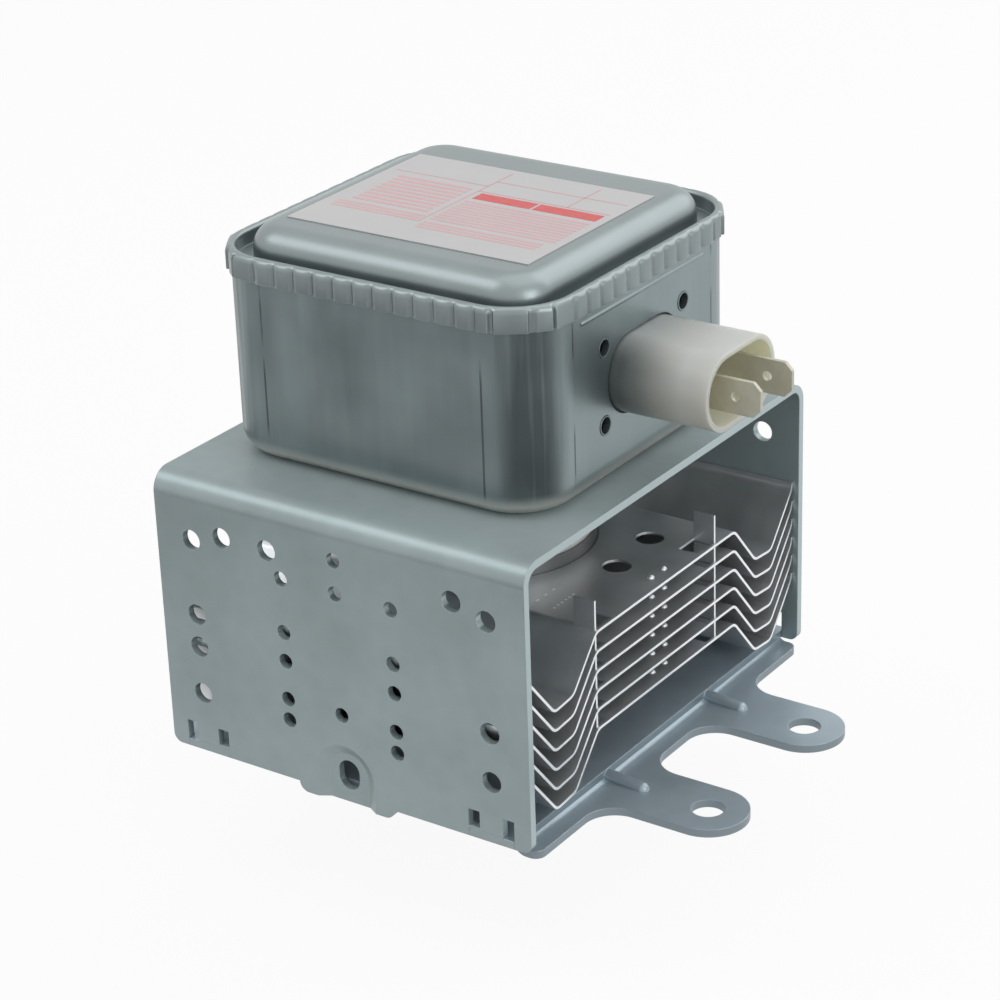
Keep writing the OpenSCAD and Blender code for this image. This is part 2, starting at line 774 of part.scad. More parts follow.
// Knitted wire ring pressed between the base plate and the oven
module rf_gasket() {
    r_in = neck_r + fit;
    r_out = neck_r + 5.5;
    h = 4.4;
    edge = 1.2;
    color("#b9b3a4") translate([0, 0, wall_z - h]) rotate_extrude() {
        translate([r_in, 0]) square([r_out - edge - r_in, h]);
        translate([r_out - edge, edge]) square([edge, h - 2 * edge]);
        for (z = [edge, h - edge]) translate([r_out - edge, z]) circle(edge);
    }
}

// Filter box
module rivet_places() {
    for (sx = [-1, 1], sy = [-1, 1])
        translate([sx * (box_w / 2 - rivet_inset), box_y + sy * (box_d / 2 - rivet_inset), 0]) children();
}

module eyelet_places() {
    for (sx = [-1, 1], sz = [-1, 1])
        translate([sx * eyelet_x, 0, connector_z + sz * eyelet_z]) rotate([90, 0, 0]) children();
}

// Stiffening bead along the front wall
module front_bead(y) {
    translate([-bead_len / 2, y, box_top - bead_drop]) rotate([0, 90, 0]) cylinder(r = bead_r, h = bead_len);
}

module filter_box() {
    color("#7f8a8b") difference() {
        union() {
            translate([0, 0, box_floor]) {
                round_box() {
                    translate([box_rc - box_t, box_rb]) square([box_t, box_h - box_rb]);
                    square([box_rc - box_rb, box_t]);
                    translate([box_rc - box_rb, box_rb]) mirror([0, 1]) quarter_ring(box_rb, box_t);
                }
                box_middle(0, box_t);
            }
            front_bead(box_front + bead_r / 2);
        }
        front_bead(box_front + bead_r / 2 + box_t);
        translate([0, 0, box_floor - over]) cylinder(r = neck_hole_r, h = box_t + 2 * over);
        rivet_places() translate([0, 0, box_floor - over]) cylinder(r = rivet_r + fit, h = box_t + 2 * over);
        stadium_bar(shroud_w + 2 * slide, shroud_h + 2 * slide, box_front - over, box_inner_front + over);
        translate([0, box_inner_front + over, 0]) eyelet_places()
            cylinder(r = eyelet_r + fit, h = box_t + 2 * over);
    }
}

module box_rivets() {
    color("#9aa1a3") rivet_places() {
        translate([0, 0, yoke_ceiling]) cylinder(r = rivet_r, h = yoke_t + box_t);
        translate([0, 0, box_floor + box_t]) cylinder(r = rivet_head_r, h = rivet_head_h);
        translate([0, 0, yoke_ceiling - rivet_head_h]) cylinder(r = rivet_head_r, h = rivet_head_h);
    }
}

// One straight run of crimp flutes, along +X, standing out to +Y
module flute_strip(len, h) {
    n = floor(len / flute_pitch);
    p = len / n;
    half = (p - flute_land) / 2;
    r = (half * half + flute_depth * flute_depth) / (2 * flute_depth);
    linear_extrude(h) difference() {
        translate([0, -lid_t / 2]) square([len, lid_t / 2 + flute_depth + fit]);
        for (k = [0:n - 1]) translate([(k + 0.5) * p, fit + r]) circle(r, $fn = 96);
    }
}

// Folds of the skirt round one corner: start, angle and share of the flutes' depth
pleats = [[3, 10, 0.5], [15, 31, 0.8], [49, 17, 0.9], [69, 16, 0.7]];

module filter_lid() {
    skirt_x = hem_x + hem_r;
    skirt_z = rim_top - skirt_h;
    wall_x = hem_x - hem_r;
    cx = box_w / 2 - box_rc;
    cy = box_d / 2 - box_rc;
    flute_h = hem_z - roll_r - skirt_z;
    color("#868f90") {
        round_box() {
            translate([0, dome_z - lid_t]) square([dome_x - dome_r, lid_t]);
            translate([dome_x - dome_r, dome_z - dome_r]) quarter_ring(dome_r, lid_t);
            translate([dome_x - lid_t, moat_z]) square([lid_t, dome_z - dome_r - moat_z]);
            translate([dome_x - lid_t, moat_z]) square([wall_x + 2 * lid_t - dome_x, lid_t]);
            translate([wall_x, moat_z]) square([lid_t, hem_z - moat_z]);
            for (s = [0, 1]) translate([hem_x, hem_z]) mirror([s, 0]) quarter_ring(hem_r, lid_t);
            translate([skirt_x - lid_t, skirt_z]) square([lid_t, hem_z - skirt_z]);
            translate([skirt_x, hem_z - roll_r]) intersection() {
                circle(roll_r);
                translate([-lid_t / 2, -roll_r - over]) square([roll_r + over, 2 * (roll_r + over)]);
            }
        }
        box_middle(dome_z - lid_t, lid_t);
        translate([0, box_y, skirt_z]) {
            for (a = [0, 180]) rotate([0, 0, a]) {
                translate([-cx, cy + skirt_x, 0]) flute_strip(2 * cx, flute_h);
                rotate([0, 0, 90]) translate([-cy, cx + skirt_x, 0]) flute_strip(2 * cy, flute_h);
            }
            for (c = [[1, 1, 0], [-1, 1, 90], [-1, -1, 180], [1, -1, 270]])
                translate([c[0] * cx, c[1] * cy, 0]) rotate([0, 0, c[2]])
                    for (f = pleats) rotate([0, 0, f[0]]) rotate_extrude(angle = f[1])
                        translate([skirt_x - lid_t / 2, 0])
                            square([lid_t / 2 + f[2] * flute_depth, flute_h]);
        }
    }
}

module lid_label() {
    color("#e6e3e2") translate([label_x - label_w / 2, box_y - label_l / 2, dome_z])
        cube([label_w, label_l, label_t]);
}

// Connector and filter parts
module capacitor_flange() {
    w = 2 * eyelet_x + flange_margin_x;
    h = 2 * eyelet_z + flange_margin_z * 2;
    color("#9aa3a5") difference() {
        union() {
            translate([-w / 2, box_inner_front, connector_z - h / 2]) cube([w, flange_t, h]);
            translate([0, flange_back, 0]) eyelet_places()
                cylinder(r = eyelet_r, h = flange_t + box_t + eyelet_out);
        }
        stadium_bar(shroud_w + 2 * slide, shroud_h + 2 * slide, box_inner_front - over, flange_back + over);
        translate([0, flange_back + over, 0]) eyelet_places()
            cylinder(r = eyelet_bore, h = flange_t + box_t + eyelet_out + 2 * over);
    }
}

module terminal_places() {
    for (s = [-1, 1]) translate([s * terminal_pitch / 2, 0, connector_z]) rotate([90, 0, 0]) children();
}

module connector_shroud() {
    bore_w = shroud_w - 2 * shroud_t;
    bore_h = shroud_h - 2 * shroud_t;
    color("#eeeadb") difference() {
        union() {
            stadium_bar(shroud_w, shroud_h, shroud_end, flange_back);
            stadium_bar(shroud_w + 2 * rim_w, shroud_h + 2 * rim_w, flange_back, flange_back + rim_t);
        }
        stadium_bar(bore_w, bore_h, shroud_end - over, web_y - web_t);
        stadium_bar(bore_w, bore_h, web_y, flange_back + rim_t + over);
        translate([0, web_y + over, 0]) terminal_places() cylinder(r = rod_r + fit, h = web_t + 2 * over);
    }
}

module capacitor_block() {
    gap = shroud_t + fit;
    color("#d9d2c4") difference() {
        stadium_bar(shroud_w - 2 * gap, shroud_h - 2 * gap, web_y, block_back);
        translate([0, block_back + over, 0]) terminal_places()
            cylinder(r = rod_r + fit, h = block_back - web_y + 2 * over);
    }
}

module capacitor_cover() {
    y0 = flange_back + rim_t;
    color("#2f3134") difference() {
        stadium_bar(shroud_w, shroud_h, y0, cover_back);
        stadium_bar(shroud_w - 2 * shroud_t, shroud_h - 2 * shroud_t, y0 - over, cover_back - cover_t);
        translate([0, cover_back + over, 0]) terminal_places()
            cylinder(r = rod_r + fit, h = cover_t + 2 * over);
    }
}

// Feed-through rod with the flat push-on tab brazed to its outer end
module terminal(side) {
    half = tab_blade_w / 2;
    shoulder = blade_tip + blade_chamfer;
    color("#c4c3b4") translate([side * terminal_pitch / 2, 0, connector_z]) {
        difference() {
            rotate([0, -90, 0]) translate([0, 0, -tab_blade_t / 2]) linear_extrude(tab_blade_t)
                polygon([[-half, blade_root], [-half, shoulder], [-half + blade_chamfer, blade_tip],
                    [half - blade_chamfer, blade_tip], [half, shoulder], [half, blade_root]]);
            translate([-over, blade_hole_y, 0]) rotate([0, 90, 0]) cylinder(d = blade_hole_d, h = 2 * over);
        }
        translate([0, rod_back, 0]) rotate([90, 0, 0])
            cylinder(r = rod_r, h = rod_back - blade_root + blade_lap);
    }
}

module left_terminal() {
    terminal(-1);
}

module right_terminal() {
    terminal(1);
}

// Choke wound on a ferrite rod, between a filament lead and a feed-through rod
module choke(side, lead_x) {
    steps = 12;
    last = choke_turns * steps;
    from = [side * terminal_pitch / 2, rod_back + choke_wire_r, connector_z];
    to = [lead_x, 0, lead_top + choke_wire_r];
    coil = [for (i = [0:last])
        [side * (choke_x - choke_r * cos(360 * i / steps)), -choke_half + 2 * choke_half * i / last,
         connector_z + choke_r * sin(360 * i / steps)]];
    color("#b06f3e") wire(concat([from], coil, [to]), choke_wire_r, [0, 1, 0]);
}

module left_choke() {
    choke(-1, 0);
}

module right_choke() {
    choke(1, side_lead_x);
}

module ferrite(side) {
    color("#4a4a4d") translate([side * choke_x, choke_half, connector_z]) rotate([90, 0, 0])
        cylinder(r = ferrite_r, h = 2 * choke_half);
}

module left_ferrite() {
    ferrite(-1);
}

module right_ferrite() {
    ferrite(1);
}

yoke_frame();
base_plate();
ring_magnet(base_top);  // lower_magnet
ring_magnet(tube_z1);  // upper_magnet
cooling_fin(1);  // cooling_fin_1
cooling_fin(2);  // cooling_fin_2
cooling_fin(3);  // cooling_fin_3
cooling_fin(4);  // cooling_fin_4
cooling_fin(5);  // cooling_fin_5
cooling_fin(6);  // cooling_fin_6
anode_cylinder();
anode_vanes();
strap_rings();
lower_pole_piece();
upper_pole_piece();
lower_sealing_cup();
upper_sealing_cup();
filament_coil();
lower_end_hat();
upper_end_hat();
centre_lead();
side_lead();
stem_ceramic();
antenna_lead();
antenna_ceramic();
exhaust_tube();
antenna_cap();
rf_gasket();
filter_box();
box_rivets();
filter_lid();
lid_label();
capacitor_flange();
connector_shroud();
capacitor_block();
capacitor_cover();
left_terminal();
right_terminal();
left_choke();
right_choke();
left_ferrite();
right_ferrite();
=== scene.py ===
"""Finishes, crimped lid, label print, knitted gasket, press marks and studio for the magnetron model."""

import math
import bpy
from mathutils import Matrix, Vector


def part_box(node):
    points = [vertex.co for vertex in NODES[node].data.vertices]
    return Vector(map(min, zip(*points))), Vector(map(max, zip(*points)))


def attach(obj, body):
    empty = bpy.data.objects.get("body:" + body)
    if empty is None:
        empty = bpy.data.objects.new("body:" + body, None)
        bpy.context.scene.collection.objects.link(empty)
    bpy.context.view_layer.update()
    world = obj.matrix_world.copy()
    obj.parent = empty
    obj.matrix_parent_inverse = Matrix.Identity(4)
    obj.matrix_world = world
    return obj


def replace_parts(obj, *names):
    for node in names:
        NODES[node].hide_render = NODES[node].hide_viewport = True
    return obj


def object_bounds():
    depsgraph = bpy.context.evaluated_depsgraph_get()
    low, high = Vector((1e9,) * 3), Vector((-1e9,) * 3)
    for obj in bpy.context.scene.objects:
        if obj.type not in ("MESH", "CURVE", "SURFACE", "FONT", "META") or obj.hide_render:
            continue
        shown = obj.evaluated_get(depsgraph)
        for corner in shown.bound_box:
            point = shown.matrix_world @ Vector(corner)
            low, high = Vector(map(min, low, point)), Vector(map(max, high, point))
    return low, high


bl_info = {
    "name": "Magnetron Finishes",
    "version": (1, 0, 0),
    "blender": (4, 5, 0),
    "location": "View3D > Sidebar > Magnetron",
    "description": "Dresses the magnetron in plated steel, aluminium, ceramic and plastic, in a white studio",
    "category": "Object",
}

from typing import NamedTuple

import bmesh
import bpy
from bpy.props import FloatProperty, FloatVectorProperty, IntProperty, PointerProperty
from mathutils import Matrix, Quaternion, Vector

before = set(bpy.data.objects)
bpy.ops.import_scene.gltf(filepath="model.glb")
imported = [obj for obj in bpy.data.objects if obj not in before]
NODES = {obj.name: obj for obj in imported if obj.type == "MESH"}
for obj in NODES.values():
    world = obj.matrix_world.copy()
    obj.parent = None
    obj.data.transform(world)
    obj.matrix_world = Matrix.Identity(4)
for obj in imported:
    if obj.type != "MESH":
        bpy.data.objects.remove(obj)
CAD_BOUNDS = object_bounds()
MM = 0.001


def shade(red, green, blue):
    """Linear colour from the 0 to 255 numbers of a screen colour."""
    linear = []
    for number in (red, green, blue):
        share = number / 255
        linear.append(share / 12.92 if number <= 10 else ((share + 0.055) / 1.055) ** 2.4)
    return tuple(linear)


def colour_property(name, description, screen_colour):
    """Colour setting with its default given as a screen colour."""
    return FloatVectorProperty(name=name, description=description, default=shade(*screen_colour),
        subtype="COLOR", size=3, min=0, max=1)


def length_property(name, description, millimetres):
    """Length setting with its default given in millimetres."""
    return FloatProperty(name=name, description=description, default=millimetres * MM, min=0, unit="LENGTH")


def power_property(name, description, watts):
    """Setting for the power of a light."""
    return FloatProperty(name=name, description=description, default=watts, min=0, unit="POWER")


# Settings that a user would change

class MagnetronColours(bpy.types.PropertyGroup):
    """Base colours of the finishes."""
    yoke: colour_property("Yoke", "Plated sheet of the yoke", (164, 178, 180))
    base: colour_property("Base", "Plated sheet of the base plate", (172, 187, 196))
    drawn_steel: colour_property("Drawn steel", "Deep-drawn filter box", (141, 154, 156))
    # Lighter colour painted on the bend at the filter box's foot: a painted reflection of the yoke's top
    painted_foot_reflection: colour_property("Burnish", "Rubbed bend round the foot of the filter box", (222, 219, 214))
    lid_steel: colour_property("Lid steel", "Pressed lid", (142, 152, 153))
    fin: colour_property("Fin", "Rolled aluminium of the cooling fins", (212, 215, 217))
    copper: colour_property("Copper", "Vanes and windings", (190, 126, 90))
    nickel: colour_property("Nickel", "Plated steel of the tube and the rivets", (186, 189, 190))
    # Near-white colour of the anode: its plating, lightened into a painted highlight of the white light it
    # mirrors
    anode: colour_property("Anode", "Bright plating of the anode", (226, 227, 226))
    tungsten: colour_property("Tungsten", "Filament and its leads", (122, 118, 116))
    ferrite: colour_property("Ferrite", "Ring magnets and choke cores", (62, 63, 67))
    alumina: colour_property("Alumina", "Ceramic of the tube", (232, 222, 216))
    cap: colour_property("Cap", "Antenna cap", (196, 199, 201))
    mesh: colour_property("Mesh", "Knitted wire of the gasket", (186, 180, 166))
    paper: colour_property("Paper", "White of the label", (208, 207, 208))
    bar: colour_property("Bar", "Red bar on the label", (222, 92, 92))
    rule: colour_property("Rule", "Thin lines on the label", (226, 158, 160))
    panel: colour_property("Panel", "Pale fields on the label", (226, 184, 186))
    shroud: colour_property("Shroud", "Outside of the connector's plastic", (209, 211, 208))
    # Paler colour painted inside the shroud: painted light, for the light that comes through its walls
    shroud_inside_light: colour_property("Shroud inside", "Inside of the connector's plastic", (252, 249, 222))
    # Dark colour painted on the shroud's sides near the box, as painted shade
    shroud_painted_shade: colour_property("Shroud root", "Connector's plastic next to the box", (78, 88, 88))
    capacitor: colour_property("Capacitor", "Ceramic of the feed-through capacitor", (214, 205, 188))
    cover: colour_property("Cover", "Black cover of the capacitor", (46, 47, 50))
    tab: colour_property("Tab", "Push-on tabs", (212, 210, 192))


class MagnetronSizes(bpy.types.PropertyGroup):
    """Sizes of the pieces made here."""
    flute_depth: length_property("Flute depth", "How far the flutes of the lid's skirt stand out", 0.6)
    flute_count: IntProperty(name="Flutes", description="Flutes along each side of the lid",
        default=11, min=4, max=20)
    print_height: length_property("Print height", "Thickness of the printed fields", 0.02)
    rule_width: length_property("Rule width", "Width of the thin lines on the label", 0.22)
    wire_radius: length_property("Wire radius", "Radius of the gasket's wire", 0.11)
    wire_strands: IntProperty(name="Wire strands", description="Strands laid each way round the gasket",
        default=64, min=8, max=120)
    wire_reach: length_property("Wire reach", "How far the strands run in under the gasket", 4.6)
    mark_radius: length_property("Mark radius", "Radius of the small marks pressed in the top fin", 0.32)


class MagnetronStudio(bpy.types.PropertyGroup):
    """Camera and light."""
    lens: FloatProperty(name="Lens", description="Focal length on a 36 mm sensor", default=107.55, min=10,
        unit="CAMERA")
    top_power: power_property("Top", "Power of the wide light overhead", 1.85)
    back_power: power_property("Back", "Power of the light behind the left wall", 1.1)
    right_power: power_property("Right", "Power of the light off the yoke's right wall", 2.0)
    front_power: power_property("Front", "Power of the light on the connector side", 2.0)
    fill: FloatProperty(name="Fill", description="Strength of the even light from all round",
        default=0.42, min=0)
    shadow: FloatProperty(name="Shadow", description="Share of the floor's own shading that shows",
        default=0.08, min=0, max=1, subtype="FACTOR")


# Filter case, at the sizes of the solid one; CORE holds the centres of its rounded corners
CASE_HALF = Vector((34.2, 34.7)) * MM
CASE_SHIFT = Vector((0, 0.5)) * MM
CASE_CORNER = 11.5 * MM
CASE_WALL = 0.5 * MM
CORE = CASE_HALF - Vector((CASE_CORNER, CASE_CORNER))

# Wiring of a finish

# Colour sockets of the Mix node
MIX_COLOURS = (6, 7)
MIX_RESULT = 2
EDGE_SAMPLES = 4
RELIEF_SAMPLES = 6
# How alike a face and its rounded edge look where the edge mask starts and where it is full
EDGE_MASK_START = 0.98
EDGE_MASK_FULL = 0.85
INSIDE_FADE = 0.5 * MM


class Finish:
    """One Principled material, wired up on Object coordinates."""

    def __init__(self, name, metallic):
        self.material = bpy.data.materials.new(name)
        self.material.use_nodes = True
        self.tree = self.material.node_tree
        self.shader = self.tree.nodes["Principled BSDF"]
        self.set("Metallic", metallic)
        self.coords = self.tree.nodes.new("ShaderNodeTexCoord")

    def set(self, socket, value):
        """Sets a number or colour that is the same all over the surface."""
        self.shader.inputs[socket].default_value = value

    def add(self, kind, **inputs):
        """New node; an input's name has _ for each space."""
        node = self.tree.nodes.new(kind)
        for name, value in inputs.items():
            node.inputs[name.replace("_", " ")].default_value = value
        return node

    def link(self, source, target):
        self.tree.links.new(source, target)

    def feed(self, socket, value):
        """Links an output to a socket, or sets the socket's own value."""
        if isinstance(value, bpy.types.NodeSocket):
            self.link(value, socket)
        else:
            socket.default_value = value

    def operated(self, kind, operation, values):
        """Outputs of a node that works on numbers, vectors or other nodes' outputs."""
        node = self.tree.nodes.new(kind)
        node.operation = operation
        for socket, value in zip(node.inputs, values):
            self.feed(socket, value)
        return node.outputs

    def number(self, operation, *values):
        """Result of a Math node."""
        return self.operated("ShaderNodeMath", operation, values)["Value"]

    def vector(self, operation, *values):
        """Outputs of a Vector Math node."""
        return self.operated("ShaderNodeVectorMath", operation, values)

    def placed(self, stretch):
        """Object coordinates, stretched."""
        mapping = self.add("ShaderNodeMapping", Scale=stretch)
        self.link(self.coords.outputs["Object"], mapping.inputs["Vector"])
        return mapping.outputs["Vector"]

    def noise(self, feature, stretch=(1, 1, 1), detail=3):
        """Noise whose features are about the given size in metres."""
        noise = self.add("ShaderNodeTexNoise", Scale=1 / feature, Detail=detail)
        self.link(self.placed(stretch), noise.inputs["Vector"])
        return noise.outputs["Fac"]

    def cells(self, feature):
        """Distance to the nearest of many scattered points."""
        cells = self.add("ShaderNodeTexVoronoi", Scale=1 / feature)
        self.link(self.coords.outputs["Object"], cells.inputs["Vector"])
        return cells.outputs["Distance"]

    def spread(self, value, low, high, to_low=0.0, to_high=1.0):
        """Value mapped from one range to another, and held there."""
        spread = self.add("ShaderNodeMapRange", From_Min=low, From_Max=high, To_Min=to_low, To_Max=to_high)
        self.link(value, spread.inputs["Value"])
        return spread.outputs["Result"]

    def sum(self, first, second, share):
        """First value plus a share of the second."""
        return self.number("MULTIPLY_ADD", second, share, first)

    def product(self, first, second):
        return self.number("MULTIPLY", first, second)

    def mixed(self, factor, first, second):
        """Colour between two; each is a colour or a colour output."""
        mix = self.tree.nodes.new("ShaderNodeMix")
        mix.data_type = "RGBA"
        self.link(factor, mix.inputs["Factor"])
        for index, colour in zip(MIX_COLOURS, (first, second)):
            linked = isinstance(colour, bpy.types.NodeSocket)
            self.feed(mix.inputs[index], colour if linked else (*colour, 1))
        return mix.outputs[MIX_RESULT]

    def part_of(self, source, axis):
        """One of the three numbers of the Object or Normal coordinates."""
        split = self.add("ShaderNodeSeparateXYZ")
        self.link(self.coords.outputs[source], split.inputs["Vector"])
        return split.outputs[axis]

    def along(self, axis):
        """Place along one of the axes."""
        return self.part_of("Object", axis)

    def facing(self, axis):
        """How squarely a face looks along one of the axes, either way."""
        return self.number("ABSOLUTE", self.part_of("Normal", axis))

    def from_axis(self):
        """Distance from the tube's axis."""
        return self.vector("LENGTH", self.placed((1, 1, 0)))["Value"]

    def near(self, value, place, width):
        """1 where a value, of either sign, is within a width of a place."""
        return self.number("COMPARE", self.number("ABSOLUTE", value), place, width)

    def edge_mask(self, radius):
        """1 along the edges of a piece, over about the given radius, and 0 on its faces."""
        bevel = self.add("ShaderNodeBevel", Radius=radius)
        bevel.samples = EDGE_SAMPLES
        face = self.add("ShaderNodeNewGeometry").outputs["True Normal"]
        alike = self.vector("DOT_PRODUCT", bevel.outputs["Normal"], face)["Value"]
        return self.spread(alike, EDGE_MASK_START, EDGE_MASK_FULL)

    def inward(self, centre):
        """1 on faces that look towards a line along Y through the centre, 0 on those that look away."""
        offset = self.vector("SUBTRACT", self.coords.outputs["Object"], centre)["Vector"]
        across = self.vector("MULTIPLY", offset, (1, 0, 1))["Vector"]
        outwards = self.vector("DOT_PRODUCT", across, self.coords.outputs["Normal"])["Value"]
        return self.spread(outwards, INSIDE_FADE, -INSIDE_FADE)

    def colour(self, source):
        self.link(source, self.shader.inputs["Base Color"])

    def metallic(self, source):
        self.link(source, self.shader.inputs["Metallic"])

    def roughness(self, source):
        self.link(source, self.shader.inputs["Roughness"])

    def relief(self, height, depth, edge):
        """Fine relief of the given depth, on edges rounded to the given radius."""
        bevel = self.add("ShaderNodeBevel", Radius=edge)
        bevel.samples = RELIEF_SAMPLES
        bump = self.add("ShaderNodeBump", Distance=depth)
        self.link(height, bump.inputs["Height"])
        self.link(bevel.outputs["Normal"], bump.inputs["Normal"])
        self.link(bump.outputs["Normal"], self.shader.inputs["Normal"])


# Finishes

# How far in from the yoke's sides a face still counts as one of its walls
WALL_DEPTH = 1.6 * MM
# How far the dark necks of the fins reach from the tube's axis
NECK_REACH = 20 * MM
NECK_FADE = 0.3 * MM
# Radius of the lightened edges: wear on the plated sheet, and both wear and a painted highlight on the lid
EDGE_WEAR_AND_HIGHLIGHT = 0.2 * MM
SCORE_WIDTH = 0.2 * MM
# Heights above the foot of the filter box between which the painted reflection on its bend sets in
BEND_TOP = 7 * MM
BEND_FULL = 5 * MM
# Shares of the shroud's length, from its mouth, between which the painted shade on its root sets in
ROOT_START = 0.25
ROOT_FULL = 0.8


def scaled(colour, factor):
    """Lighter or darker colour."""
    return tuple(min(1.0, c * factor) for c in colour)


def plated_sheet(name, colour, sheen, top_sheen, cut_edge_painted_light, ends):
    """Zinc-plated sheet: faint cloudy spangle, rolled grain and rubbed edges.

    Its level faces may shine less. Its cut edges take a colour that paints a highlight on them where it is
    lighter and shade where it is darker, and its X ends have colours of their own.
    """
    finish = Finish(name, sheen)
    cloud = finish.noise(22 * MM, detail=4)
    spangle = finish.cells(3.5 * MM)
    mottle = finish.spread(finish.sum(cloud, spangle, 0.16), 0.35, 0.75)
    grain = finish.noise(0.9 * MM, stretch=(1, 0.06, 1))
    body = finish.mixed(mottle, scaled(colour, 0.90), scaled(colour, 1.07))
    wall = finish.mixed(mottle, scaled(ends, 0.90), scaled(ends, 1.07))
    # Upright faces, the cut edges, take a colour of painted light: lighter as a highlight on the yoke, darker
    # as shade on the base plate
    cut = finish.mixed(finish.spread(finish.facing("Z"), 0.3, 0.1), body, cut_edge_painted_light)
    outer = finish.near(finish.along("X"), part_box("yoke_frame")[1].x, WALL_DEPTH)
    faced = finish.mixed(finish.product(outer, finish.spread(finish.facing("X"), 0.3, 0.6)), cut, wall)
    worn_and_lit_edges = finish.product(finish.edge_mask(EDGE_WEAR_AND_HIGHLIGHT), grain)
    finish.colour(finish.mixed(worn_and_lit_edges, faced, scaled(colour, 1.5)))
    finish.set("Specular IOR Level", 0.2)
    if top_sheen != sheen:
        finish.metallic(finish.spread(finish.facing("Z"), 0.8, 0.97, sheen, top_sheen))
    finish.roughness(finish.spread(finish.sum(cloud, grain, 0.5), 0.4, 1.0, 0.3, 0.4))
    finish.relief(finish.sum(grain, spangle, 0.25), 0.006 * MM, 0.25 * MM)
    return finish.material


def drawn_sheet(name, colour, painted_foot_reflection):
    """Deep-drawn sheet: faint draw marks up the walls, with dull smudges between them.

    Its corners have dark scores on them and beside them, and the bend at its foot is painted lighter, as a
    reflection of the yoke's top.
    """
    finish = Finish(name, 0.85)
    streak = finish.noise(1.6 * MM, stretch=(1, 1, 0.03), detail=4)
    broad = finish.noise(9 * MM, stretch=(1, 1, 0.2), detail=2)
    smudge = finish.noise(15 * MM, detail=2)
    wear = finish.sum(finish.sum(smudge, broad, 0.7), streak, 0.25)
    body = finish.mixed(finish.spread(wear, 0.7, 1.25), scaled(colour, 0.86), scaled(colour, 1.08))
    corner = finish.spread(finish.product(finish.facing("X"), finish.facing("Y")), 0.1, 0.45)
    scores = finish.product(corner, finish.spread(finish.sum(broad, streak, 0.8), 0.75, 1.05))
    scored = finish.mixed(scores, body, scaled(colour, 0.45))
    broken = finish.spread(finish.noise(12 * MM, stretch=(1, 1, 0.6)), 0.48, 0.56)
    for axis, reach in (("X", CORE.x), ("Y", CORE.y)):
        line = finish.product(finish.near(finish.along(axis), reach, SCORE_WIDTH), broken)
        scored = finish.mixed(line, scored, scaled(colour, 0.42))
    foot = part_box("filter_box")[0].z
    # Painted reflection: the bend at the foot turns to a lighter colour, as if it mirrored the yoke's top
    low_down = finish.spread(finish.along("Z"), foot + BEND_TOP, foot + BEND_FULL)
    bend = finish.product(finish.spread(finish.facing("Z"), 0.05, 0.5), low_down)
    finish.colour(finish.mixed(bend, scored, painted_foot_reflection))
    finish.roughness(finish.spread(wear, 0.7, 1.25, 0.29, 0.42))
    finish.relief(finish.sum(broad, streak, 0.25), 0.025 * MM, 0.3 * MM)
    return finish.material


def pressed_sheet(name, colour):
    """Lid sheet: smooth and satin, with light handling marks, and edges lightened both as wear and as a
    painted highlight.
    """
    finish = Finish(name, 0.75)
    cloud = finish.noise(16 * MM, detail=4)
    hair = finish.noise(0.7 * MM, stretch=(0.05, 1, 1))
    body = finish.mixed(finish.spread(cloud, 0.3, 0.7), scaled(colour, 0.93), scaled(colour, 1.05))
    # Lightened edges of the lid: partly wear, partly a painted highlight along the flutes and folds
    worn_and_lit_edges = finish.product(finish.edge_mask(EDGE_WEAR_AND_HIGHLIGHT), finish.spread(cloud, 0.35, 0.6, 0.3, 1.0))
    finish.colour(finish.mixed(worn_and_lit_edges, body, scaled(colour, 1.8)))
    finish.roughness(finish.spread(finish.sum(cloud, hair, 0.4), 0.4, 0.9, 0.29, 0.38))
    finish.relief(hair, 0.004 * MM, 0.2 * MM)
    return finish.material


def rolled_aluminium(name, colour):
    """Thin fin stock: rolling lines across the fin, soft stains, a painted highlight on the cut edges that
    face Y, and dark necks.
    """
    finish = Finish(name, 0.8)
    lines = finish.noise(0.5 * MM, stretch=(0.03, 1, 1), detail=4)
    stain = finish.noise(9 * MM, detail=4)
    body = finish.mixed(finish.spread(stain, 0.3, 0.7), scaled(colour, 0.84), colour)
    # Painted highlight: the cut edges that face Y are lightened
    highlighted_edges = finish.mixed(finish.spread(finish.facing("Y"), 0.9, 0.98), body, scaled(colour, 1.35))
    neck = finish.spread(finish.from_axis(), NECK_REACH + NECK_FADE, NECK_REACH)
    finish.colour(finish.mixed(neck, highlighted_edges, scaled(colour, 0.25)))
    finish.roughness(finish.spread(finish.sum(stain, lines, 0.5), 0.4, 1.0, 0.29, 0.42))
    finish.relief(lines, 0.006 * MM, 0.12 * MM)
    return finish.material


def bare_metal(name, colour, tarnish, roughness, metallic=1.0):
    """Turned, drawn or brazed metal with a darker tarnish in patches."""
    finish = Finish(name, metallic)
    patch = finish.noise(4 * MM, detail=5)
    fine = finish.noise(0.4 * MM)
    finish.colour(finish.mixed(finish.spread(patch, 0.35, 0.7), colour, tarnish))
    finish.roughness(finish.spread(patch, 0.3, 0.7, roughness * 0.95, roughness * 1.3))
    finish.relief(fine, 0.006 * MM, 0.12 * MM)
    return finish.material


def sintered_ferrite(name, colour):
    """Ferrite: matt, with a fine sparkle and paler ground patches."""
    finish = Finish(name, 0.15)
    speck = finish.cells(0.5 * MM)
    patch = finish.noise(5 * MM, detail=4)
    ground = finish.spread(finish.sum(patch, speck, 0.3), 0.4, 0.85)
    finish.colour(finish.mixed(ground, scaled(colour, 0.8), scaled(colour, 1.5)))
    finish.roughness(finish.spread(speck, 0.1, 0.7, 0.45, 0.65))
    finish.relief(speck, 0.03 * MM, 0.3 * MM)
    return finish.material


